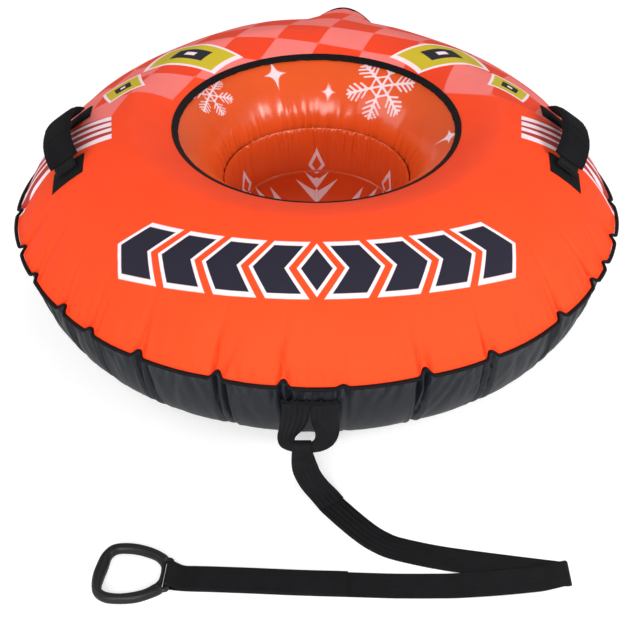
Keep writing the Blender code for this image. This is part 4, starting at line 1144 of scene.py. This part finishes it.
def arch(side, reach, sizes):
    """Middle and thickness direction of the handle's arch at each reach from its middle.

    The arch's height is a power of one less a power of the share of its half length.
    """
    seat, tangent, down, normal = handle_frame(side, sizes)
    share = np.clip(np.abs(reach) / SLEEVE_HALF, 0.0, 1.0)
    left = 1.0 - share ** ARCH_SQUARENESS
    slope = ARCH_POWER * np.maximum(left, 0.04) ** (ARCH_POWER - 1)
    slope = slope * ARCH_SQUARENESS * share ** (ARCH_SQUARENESS - 1)
    slope = -np.sign(reach) * slope * HANDLE_RISE / SLEEVE_HALF * (share < 1.0)
    high = PIVOT_HEIGHT + HANDLE_RISE * left ** ARCH_POWER
    middle = seat + tangent * reach[:, None] + normal * high[:, None]
    return middle, down, unit(normal - tangent * slope[:, None])


def band_grid(middle, across, up, width, thickness, across_points=9, round_points=3):
    """A flat band with round edges carried along a path.

    The section is a stadium: two straight faces joined by half circles of the thickness. Width
    and thickness may change along the path. Also gives the cloth's map, along and around in metres.
    """
    flat = np.linspace(-1.0, 1.0, across_points)
    bend = math.pi * (np.arange(round_points) + 1) / (round_points + 1)
    place = np.concatenate([flat, np.ones(round_points), flat[::-1], -np.ones(round_points)])
    out = np.concatenate([np.zeros(across_points), np.sin(bend), np.zeros(across_points), -np.sin(bend)])
    rise = np.concatenate([np.ones(across_points), np.cos(bend), -np.ones(across_points), -np.cos(bend)])
    width, thickness = np.broadcast_to(width, len(middle)), np.broadcast_to(thickness, len(middle))
    side = place * (width - thickness)[:, None] / 2 + out * thickness[:, None] / 2
    high = rise * thickness[:, None] / 2
    points = middle[:, None, :] + across[:, None, :] * side[..., None] + up[:, None, :] * high[..., None]
    around = np.append(place, -1.0) * width[:, None] / 2
    return points, np.stack([np.broadcast_to(path_run(middle)[:, None], around.shape), around], -1)


def spawn_band(name, body, slot, replaced, *path):
    """A band carried along a path, as one piece."""
    points, uv = band_grid(*path)
    return spawn(name, body, slot, replaced, points, closed=False, uv=uv)


class BuildHandles(bpy.types.Operator):
    """Makes the two carrying handles: sewn tabs, padded sleeves and the webbing through them"""
    bl_idname = "snowtube.handles"
    bl_label = "Carrying handles"

    def execute(self, context):
        sizes, webbing = context.scene.tube_ring, context.scene.tube_webbing
        for name, side in (("left", -1), ("right", 1)):
            self.sleeve(name, side, sizes, webbing)
            self.webbing(name, side, sizes, webbing)
            for end_name, end in (("front", -1), ("rear", 1)):
                self.tab(name, end_name, side, end, sizes, webbing)
        return {"FINISHED"}

    def sleeve(self, name, side, sizes, webbing):
        """Outer face from end to end, a lip at each end, then back along the slot for the webbing.

        The section is a superellipse, pinched at its two long edges where it is sewn, and small
        wrinkles run across it along its whole length.
        """
        around = turns(56)
        turn = np.linspace(0.0, math.pi, 58)
        reach = -SLEEVE_HALF * np.cos(turn)
        middle, down, normal = arch(side, reach, sizes)
        thick = SLEEVE_END + (webbing.sleeve_thickness - SLEEVE_END) * np.sin(turn) ** 0.7
        cosine, sine = np.cos(around), np.sin(around)
        u = powered(cosine, 0.5) * webbing.sleeve_width / 2
        pinch = 1.0 - 0.35 * np.exp(-((np.abs(u) - webbing.sleeve_width / 2 + 0.0045) / 0.0016) ** 2)
        v = powered(sine, 0.8) * pinch
        rng = np.random.default_rng(3 + side)
        wrinkle = sum(0.00022 * np.sin(reach[:, None] * rate + u * rng.uniform(20, 60) + rng.uniform(0, 6.28))
                      for rate in (260.0, 410.0, 575.0))
        lip = np.clip(np.minimum(turn, math.pi - turn) / 0.09, 0.0, 1.0)
        close = 0.35 + 0.65 * np.sqrt(1 - (1 - lip) ** 2)
        high = (v[None, :] * (thick * close)[:, None] / 2) + wrinkle * v[None, :]
        wide = u[None, :] * (0.94 + 0.06 * close)[:, None]
        outer = middle[:, None, :] + down * wide[..., None] + normal[:, None, :] * high[..., None]
        back = reach[::-3]
        inner_middle, _, inner_normal = arch(side, back, sizes)
        slot_u = (powered(cosine, 0.35) * (webbing.width / 2 + SLOT_GAP))[:, None]
        slot_v = (powered(sine, 0.35) * (webbing.thickness / 2 + SLOT_GAP))[:, None]
        inner = inner_middle[:, None, :] + down * slot_u + inner_normal[:, None, :] * slot_v
        points = np.concatenate([outer, inner]).transpose(1, 0, 2)
        uv = cloth_map(np.append(around, 2 * math.pi) * 0.02, np.concatenate([reach, back, reach[:1]]))
        pad = spawn(name + "_handle_pad", name + "_handle", "padded_fabric", [name + "_handle_sleeve"],
                    points, uv=uv)

    def webbing(self, name, side, sizes, webbing):
        """Flat webbing carried along the arch from tab to tab."""
        inner = -SLEEVE_HALF * np.cos(np.linspace(0.0, math.pi, 40))
        reach = np.concatenate([[-WEBBING_END], inner, [WEBBING_END]])
        middle, down, normal = arch(side, reach, sizes)
        across = np.broadcast_to(down, middle.shape)
        spawn_band(name + "_handle_band", name + "_handle", "black_webbing", [name + "_handle_webbing"],
                   middle, across, normal, webbing.width, webbing.thickness)

    def tab(self, name, end_name, side, end, sizes, webbing):
        """A folded fabric tab that lies on the cover, and the webbing that rises from it."""
        seat, tangent, down, normal = handle_frame(side, sizes)
        outward = unit(np.array((seat[0], seat[1], 0.0)))
        share = np.linspace(-0.5, 0.5, 17)
        reach = TAB_END - np.array([0.0, 0.0007, 0.0030])
        reach = np.append(reach, np.linspace(TAB_END - 0.007, TAB_TOP, 8))
        flat = (seat + (tangent * end * reach[:, None])[:, None, :]
                + outward * (down @ outward) * webbing.tab_width * share[None, :, None])
        height = cover_height(np.hypot(flat[..., 0], flat[..., 1]), sizes) + 0.0004
        under = np.dstack([flat[..., 0], flat[..., 1], height])
        thick = np.full(len(under), TAB_THICKNESS)
        thick[[0, 1, -1]] *= (0.4, 0.85, 0.5)
        edge_round = 1.0 - 0.65 * np.clip((np.abs(share) - 0.47) / 0.03, 0.0, 1.0) ** 2
        over = under + normal * (thick[:, None] * edge_round[None, :])[..., None]
        points = np.concatenate([under, over[:, ::-1]], axis=1)
        across = np.concatenate([share, share[::-1], share[:1]]) * webbing.tab_width
        label = "%s_handle_%s_tab" % (name, end_name)
        uv = cloth_map(reach, across)
        spawn(label + "_cloth", "tube", "padded_fabric", [label], points, closed=False, uv=uv)
        route = smooth_through([(reach, 0.0, height) for reach, height in TAB_ROUTE], 14)
        middle = seat + tangent * end * route[:, :1] + normal * route[:, 2:]
        run = unit(np.gradient(middle, axis=0))
        across = np.broadcast_to(down, run.shape)
        spawn_band(label + "_band", "tube", "black_webbing", [label], middle, across,
                   unit(np.cross(run, across)), webbing.width, webbing.thickness)


# Tow line: place, lean in degrees, width and thickness along the loop
LOOP_STATIONS = (
    (-0.0306, -0.4892, 0.117, 0, 0.040, 0.0020), (-0.0306, -0.4920, 0.106, 0, 0.040, 0.0020),
    (-0.0315, -0.4955, 0.096, 2, 0.040, 0.0022), (-0.0345, -0.5010, 0.084, 8, 0.040, 0.0024),
    (-0.0400, -0.5070, 0.072, 20, 0.036, 0.0030), (-0.0415, -0.5125, 0.064, 42, 0.030, 0.0042),
    (-0.0345, -0.5160, 0.0570, 66, 0.019, 0.0060), (-0.0225, -0.5180, 0.0555, 82, 0.015, 0.0070),
    (-0.0080, -0.5180, 0.0570, 102, 0.019, 0.0062), (0.0035, -0.5160, 0.0615, 122, 0.027, 0.0045),
    (0.0105, -0.5120, 0.0700, 140, 0.036, 0.0032), (0.0122, -0.5060, 0.0805, 158, 0.041, 0.0024),
    (0.0113, -0.5000, 0.0920, 176, 0.040, 0.0020), (0.0104, -0.4930, 0.106, 180, 0.040, 0.0020),
    (0.0104, -0.4892, 0.117, 180, 0.040, 0.0020),
)
EYE_CENTRE = (-0.0222, -0.518, 0.0565)
EYE_HEIGHT = 0.0112
EYE_RADIUS = 0.0085
# Places along the strap's way over the ground and back, and the heading of its width in degrees
STRAP_ROUTE = (
    (-0.0190, -0.5265, 0.0355, 2), (-0.0148, -0.5365, 0.0245, 8), (-0.0045, -0.5485, 0.0130, 18),
    (0.0100, -0.5630, 0.0050, 30), (0.0210, -0.5770, 0.0018, 37), (0.0310, -0.5885, 0.0012, 40),
    (0.0420, -0.6015, 0.0012, 42), (0.0580, -0.6190, 0.0012, 45), (0.0740, -0.6345, 0.0012, 51),
    (0.0900, -0.6460, 0.0012, 60), (0.1060, -0.6540, 0.0012, 67), (0.1390, -0.6640, 0.0012, 74),
    (0.1700, -0.6715, 0.0012, 78), (0.2025, -0.6775, 0.0012, 80), (0.2500, -0.6855, 0.0012, 81),
    (0.3000, -0.6935, 0.0012, 83), (0.3240, -0.6972, 0.0012, 86), (0.3305, -0.6985, 0.0012, 88),
    (0.3342, -0.6993, 0.0026, 89), (0.3352, -0.7000, 0.0048, 90), (0.3342, -0.7007, 0.0068, 91),
    (0.3305, -0.7015, 0.0079, 92), (0.3220, -0.7035, 0.0073, 93), (0.3080, -0.7060, 0.0054, 94),
    (0.2900, -0.7090, 0.0040, 95), (0.2440, -0.7140, 0.0036, 95), (0.2080, -0.7170, 0.0036, 93),
    (0.1800, -0.7175, 0.0020, 91), (0.1620, -0.7172, 0.0012, 90), (0.1040, -0.7170, 0.0012, 89),
    (0.0400, -0.7145, 0.0012, 88), (-0.0240, -0.7120, 0.0012, 87), (-0.0880, -0.7085, 0.0012, 86),
    (-0.1400, -0.7060, 0.0012, 86),
)
STRAP_WIDTH = 0.040
FIRST_WIDTHS = (0.036, 0.039)
EYE_WIDTH = 0.028
BAR_MIDDLE = (-0.1968, -0.7030, 0.0078)
HANDLE_HEADING = 175.98
STRAP_ON_GROUND = 0.0013
WRAP_RADIUS = 0.0050
LIFT = 0.0023
# Outer and inner corner of the D, ahead and aside of its bar, and its height there
HANDLE_OUTLINE = (
    ((0.0068, 0.0), (0.0116, 0.0), 0.009), ((0.0068, -0.011), (0.0126, -0.0105), 0.009),
    ((0.0069, -0.019), (0.016, -0.017), 0.0105), ((0.0050, -0.027), (0.0195, -0.021), 0.015),
    ((0.018, -0.036), (0.025, -0.025), 0.015), ((0.033, -0.042), (0.037, -0.0295), 0.015),
    ((0.0485, -0.0455), (0.052, -0.033), 0.015), ((0.063, -0.0465), (0.066, -0.0335), 0.015),
    ((0.078, -0.0445), (0.075, -0.032), 0.015), ((0.088, -0.039), (0.0805, -0.027), 0.015),
    ((0.096, -0.026), (0.0825, -0.020), 0.015), ((0.0995, -0.009), (0.083, -0.006), 0.015),
    ((0.101, 0.008), (0.0848, 0.008), 0.015), ((0.099, 0.025), (0.086, 0.022), 0.015),
    ((0.095, 0.036), (0.0845, 0.0295), 0.015), ((0.087, 0.0435), (0.0795, 0.034), 0.015),
    ((0.075, 0.048), (0.071, 0.0363), 0.015), ((0.057, 0.048), (0.057, 0.0365), 0.015),
    ((0.037, 0.045), (0.040, 0.0325), 0.015), ((0.020, 0.0375), (0.028, 0.0275), 0.015),
    ((0.0050, 0.0275), (0.0195, 0.0205), 0.015), ((0.0069, 0.019), (0.016, 0.017), 0.0105),
    ((0.0068, 0.011), (0.0126, 0.0105), 0.009),
)


def handle_axes():
    """The tow handle's directions ahead and aside, and the middle of its bar."""
    heading = math.radians(HANDLE_HEADING)
    ahead = np.array((math.cos(heading), math.sin(heading), 0.0))
    return ahead, np.cross(SKY, ahead), np.array(BAR_MIDDLE)


def strap_stations():
    """Places, width directions, thickness directions and widths along the whole strap.

    It starts at the end sewn under the loop's eye, runs round the eye, over the ground, folds back,
    runs round the handle's bar and ends on top of itself.
    """
    route = np.array(STRAP_ROUTE)
    places = route[:, :3]
    widths = np.append(FIRST_WIDTHS, np.full(len(route) - 2, STRAP_WIDTH))
    run = unit(np.vstack([places[1] - places[0], places[2:] - places[:-2], places[-1] - places[-2]]))
    heading = np.radians(route[:, 3])
    across = np.stack([np.cos(heading), np.sin(heading), 0 * heading], -1)
    up = unit(np.cross(across, run))
    over = places + np.where(up[:, 2:] > 0, up, -up) * LIFT
    rows = [(over[k], across[k], up[k], widths[k]) for k in range(4, -1, -1)]
    for angle in np.radians(np.linspace(186, -41, 11)):
        out = np.array((0.0, math.cos(angle), math.sin(angle)))
        rows.append((EYE_CENTRE + out * (0.0, EYE_RADIUS, EYE_HEIGHT), (1.0, 0.0, 0.0), out, EYE_WIDTH))
    rows += zip(places, across, up, widths)
    ahead, aside, bar = handle_axes()
    lower = SKY * (STRAP_ON_GROUND - bar[2])
    rows += [(bar - ahead * reach + lower, aside, SKY, STRAP_WIDTH) for reach in (0.032, 0.016)]
    for angle in np.radians(np.linspace(-100, 125, 11)):
        out = ahead * math.cos(angle) + SKY * math.sin(angle)
        rows.append((bar + out * WRAP_RADIUS, aside, out, STRAP_WIDTH))
    rows += [(bar - ahead * reach + lower + SKY * LIFT, aside, SKY, STRAP_WIDTH) for reach in (0.016, 0.032)]
    rows += [(over[k], across[k], up[k], STRAP_WIDTH) for k in (-1, -2, -3, -4)]
    table = np.array([np.concatenate([*directions, [width]]) for *directions, width in rows])
    for k in range(1, len(table)):
        for part in (slice(3, 6), slice(6, 9)):
            if table[k, part] @ table[k - 1, part] < 0:
                table[k, part] *= -1
    return table


class BuildTowLine(bpy.types.Operator):
    """Makes the tow loop, the tow strap and the moulded tow handle"""
    bl_idname = "snowtube.tow_line"
    bl_label = "Tow line"

    def execute(self, context):
        self.strap(context.scene.tube_webbing, self.handle())
        self.loop()
        self.hem()
        return {"FINISHED"}

    def loop(self):
        """Webbing down one leg, bunched where the strap's eye runs, and up the other."""
        stations = np.array(LOOP_STATIONS)
        lean = np.radians(stations[:, 3])
        table = np.column_stack([stations[:, :3], np.cos(lean), 0 * lean, np.sin(lean), stations[:, 4:]])
        table = smooth_through(table, 150)
        middle, across = table[:, :3], unit(table[:, 3:6])
        up = np.broadcast_to((0.0, -1.0, 0.0), middle.shape)
        spawn_band("tow_loop_band", "loop", "black_webbing", ["tow_loop"], middle, across, up, table[:, 6],
                   table[:, 7], 11)

    def hem(self):
        """Thick folded strip across both legs' ends, puckered along its upper edge by the stitching."""
        place = np.linspace(-0.0515, 0.0315, 90)
        rng = np.random.default_rng(8)
        wave = waves(rng, 0.4, place, (330.0, 610.0, 905.0))
        middle = np.stack([place, -np.sqrt(0.4896 ** 2 - place ** 2), 0.1172 + 0.0007 * wave], -1)
        down = np.broadcast_to(-SKY, middle.shape)
        out = unit(middle * (1.0, 1.0, 0.0))
        width, thickness = 0.0085 + 0.0016 * wave, 0.0036
        spawn_band("tow_loop_hem", "tube", "black_binding", (), middle, down, out, width, thickness, 7)

    def strap(self, webbing, handle):
        """One length of webbing, carried along a smooth curve through the strap's stations."""
        table = smooth_through(strap_stations(), 620)
        middle, across, up = table[:, :3], unit(table[:, 3:6]), unit(table[:, 6:9])
        strap = spawn_band("tow_strap_band", "strap", "black_webbing", ["tow_strap"], middle, across, up,
                           table[:, 9], webbing.thickness)

    def handle(self):
        """A closed ring carried round the D outline, and the bar that the strap runs round.

        The section is a superellipse between the outer and the inner outline.
        """
        ahead, aside, bar = handle_axes()
        rows = np.array([(*outer, *inner, height) for outer, inner, height in HANDLE_OUTLINE])
        closed = np.vstack([rows[-2:], rows, rows[:3]])
        columns = np.column_stack([(closed[:, :2] + closed[:, 2:4]) / 2, closed[:, 4] * 0, closed])
        fine = smooth_through(columns, 261)
        start = np.argmin(np.hypot(*(fine[:60, :2] - columns[2, :2]).T))
        stop = 200 + np.argmin(np.hypot(*(fine[200:, :2] - columns[2, :2]).T))
        fine = fine[start:stop]
        outer, inner, tall = fine[:, 3:5], fine[:, 5:7], fine[:, 7]
        cosine, sine = (wave(turns(24))[:, None] for wave in (np.cos, np.sin))
        flat = (outer + inner)[:, None, :] / 2 + (outer - inner)[:, None, :] / 2 * powered(cosine, 0.8)
        high = tall[:, None, None] / 2 * powered(sine, 0.8)
        axes = np.array((ahead, aside, SKY))
        ring = spawn("tow_handle_ring", "handle", "black_plastic", ["tow_handle"],
                     bar + np.concatenate([flat, high], axis=2) @ axes)
        half, bar_radius = 0.0245, 0.0035
        arm = [(0.0125, half, 0.0), (0.0055, half, 0.0), (0.0012, half - 0.0010, 0.0),
               (0.0, half - 0.0045, 0.0)]
        route = [(x, -y, z) for x, y, z in arm] + [(0.0, 0.0, 0.0)] + arm[::-1]
        path = smooth_through(route, 60)
        side = np.cross(SKY, unit(np.gradient(path, axis=0)))
        local = path[:, None, :] + bar_radius * (side[:, None, :] * cosine + SKY * sine)
        rod = spawn("tow_handle_bar", "handle", "black_plastic", ["tow_handle"], bar + local @ axes,
                    closed=False)
        return [ring, rod]


class BuildStage(bpy.types.Operator):
    """Makes the camera, the pale floor and the soft studio light"""
    bl_idname = "snowtube.stage"
    bl_label = "Studio"

    def execute(self, context):
        scene = context.scene
        lens = bpy.data.cameras.new("camera")
        lens.lens, lens.sensor_width, lens.clip_end = 65.244, 36.0, 100.0
        camera = bpy.data.objects.new("camera", lens)
        camera.location = (0.0, -1.6669, 1.2562)
        camera.rotation_euler = (math.radians(50.044), 0.0, math.radians(-0.196))
        scene.collection.objects.link(camera)
        scene.camera = camera
        scene.view_settings.view_transform = "Standard"
        self.world(scene)
        self.floor(scene)
        self.lamps(scene)
        return {"FINISHED"}

    def world(self, scene):
        """White where the camera and clear pieces see it, a softer level as light and less in gloss."""
        scene.world = bpy.data.worlds.new("studio")
        n = Nodes(scene.world, "Background")
        rays = n.add("LightPath", {}).outputs
        seen = n.calc("MAXIMUM", rays["Is Camera Ray"], rays["Is Transmission Ray"])
        gloss = n.calc("MULTIPLY", rays["Is Glossy Ray"], 0.24)
        n.fill(n.shader, {"Color": (1.0, 1.0, 1.0, 1.0),
                          "Strength": n.calc("SUBTRACT", n.span(seen, 0.0, 1.0, 0.42, 1.0), gloss)})

    def floor(self, scene):
        """A wide pale floor, a little brighter to the camera, that keeps the shadow."""
        mesh = bpy.data.meshes.new("floor")
        corners = [(x, y, -0.0006) for x, y in ((-30, -30), (30, -30), (30, 30), (-30, 30))]
        mesh.from_pydata(corners, [], [(0, 1, 2, 3)])
        made = bpy.data.objects.new("floor", mesh)
        scene.collection.objects.link(made)
        n = principled("floor", 0.9, Base_Color=(0.65, 0.65, 0.65, 1.0), Specular_IOR_Level=0.0,
                       Emission_Color=(1.0, 1.0, 1.0, 1.0))
        camera_ray = n.add("LightPath", {}).outputs["Is Camera Ray"]
        n.fill(n.shader, {"Emission Strength": n.calc("MULTIPLY", camera_ray, 0.52)})
        mesh.materials.append(n.owner)

    def lamps(self, scene):
        """A broad lamp over the front, one on each side and one behind."""
        for name, place, aim, size, power in (
                ("key", (1.75, -0.85, 1.00), (0.0, 0.10, 0.20), 0.75, 19.0),
                ("fill", (-2.10, -0.30, 1.40), (0.0, 0.10, 0.20), 1.8, 16.0),
                ("front", (-0.25, -2.60, 1.02), (0.0, -0.2, 0.15), 1.7, 54.0),
                ("back", (0.3, 2.6, 2.4), (0.0, 0.1, 0.2), 2.2, 26.0)):
            lamp = bpy.data.lights.new(name, "AREA")
            lamp.shape, lamp.size, lamp.energy = "DISK", size, power
            made = bpy.data.objects.new(name, lamp)
            made.location = place
            x, y, z = np.array(aim) - np.array(place)
            made.rotation_euler = (math.atan2(math.hypot(x, y), -z), 0.0, math.atan2(-x, y))
            scene.collection.objects.link(made)


BUILDERS = (BuildStage, BuildTowLine, BuildCovers, BuildEdging, BuildInflatable, DressValve, BuildHandles)
GROUPS = {"tube_ring": RingSizes, "tube_webbing": WebbingSizes, "tube_colours": Finishes}


class SnowTubePanel(bpy.types.Panel):
    """Lists the sizes, the colours and the steps"""
    bl_idname = "VIEW3D_PT_snow_tube"
    bl_label = "Snow Tube"
    bl_space_type = "VIEW_3D"
    bl_region_type = "UI"
    bl_category = "Snow Tube"

    def draw(self, context):
        for group in GROUPS:
            box = self.layout.box()
            for name in GROUPS[group].__annotations__:
                box.prop(getattr(context.scene, group), name)
        for builder in BUILDERS:
            self.layout.operator(builder.bl_idname)


def register():
    for kind in (*GROUPS.values(), *BUILDERS, SnowTubePanel):
        bpy.utils.register_class(kind)
    for name, kind in GROUPS.items():
        setattr(bpy.types.Scene, name, bpy.props.PointerProperty(type=kind))


def unregister():
    for name in GROUPS:
        delattr(bpy.types.Scene, name)
    for kind in (SnowTubePanel, *BUILDERS, *GROUPS.values()):
        bpy.utils.unregister_class(kind)


def main():
    """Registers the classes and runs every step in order."""
    register()
    bpy.ops.snowtube.stage()
    bpy.ops.snowtube.tow_line()
    bpy.ops.snowtube.covers()
    bpy.ops.snowtube.edging()
    bpy.ops.snowtube.inflatable()
    bpy.ops.snowtube.valve()
    bpy.ops.snowtube.handles()


if __name__ == "__main__":
    main()
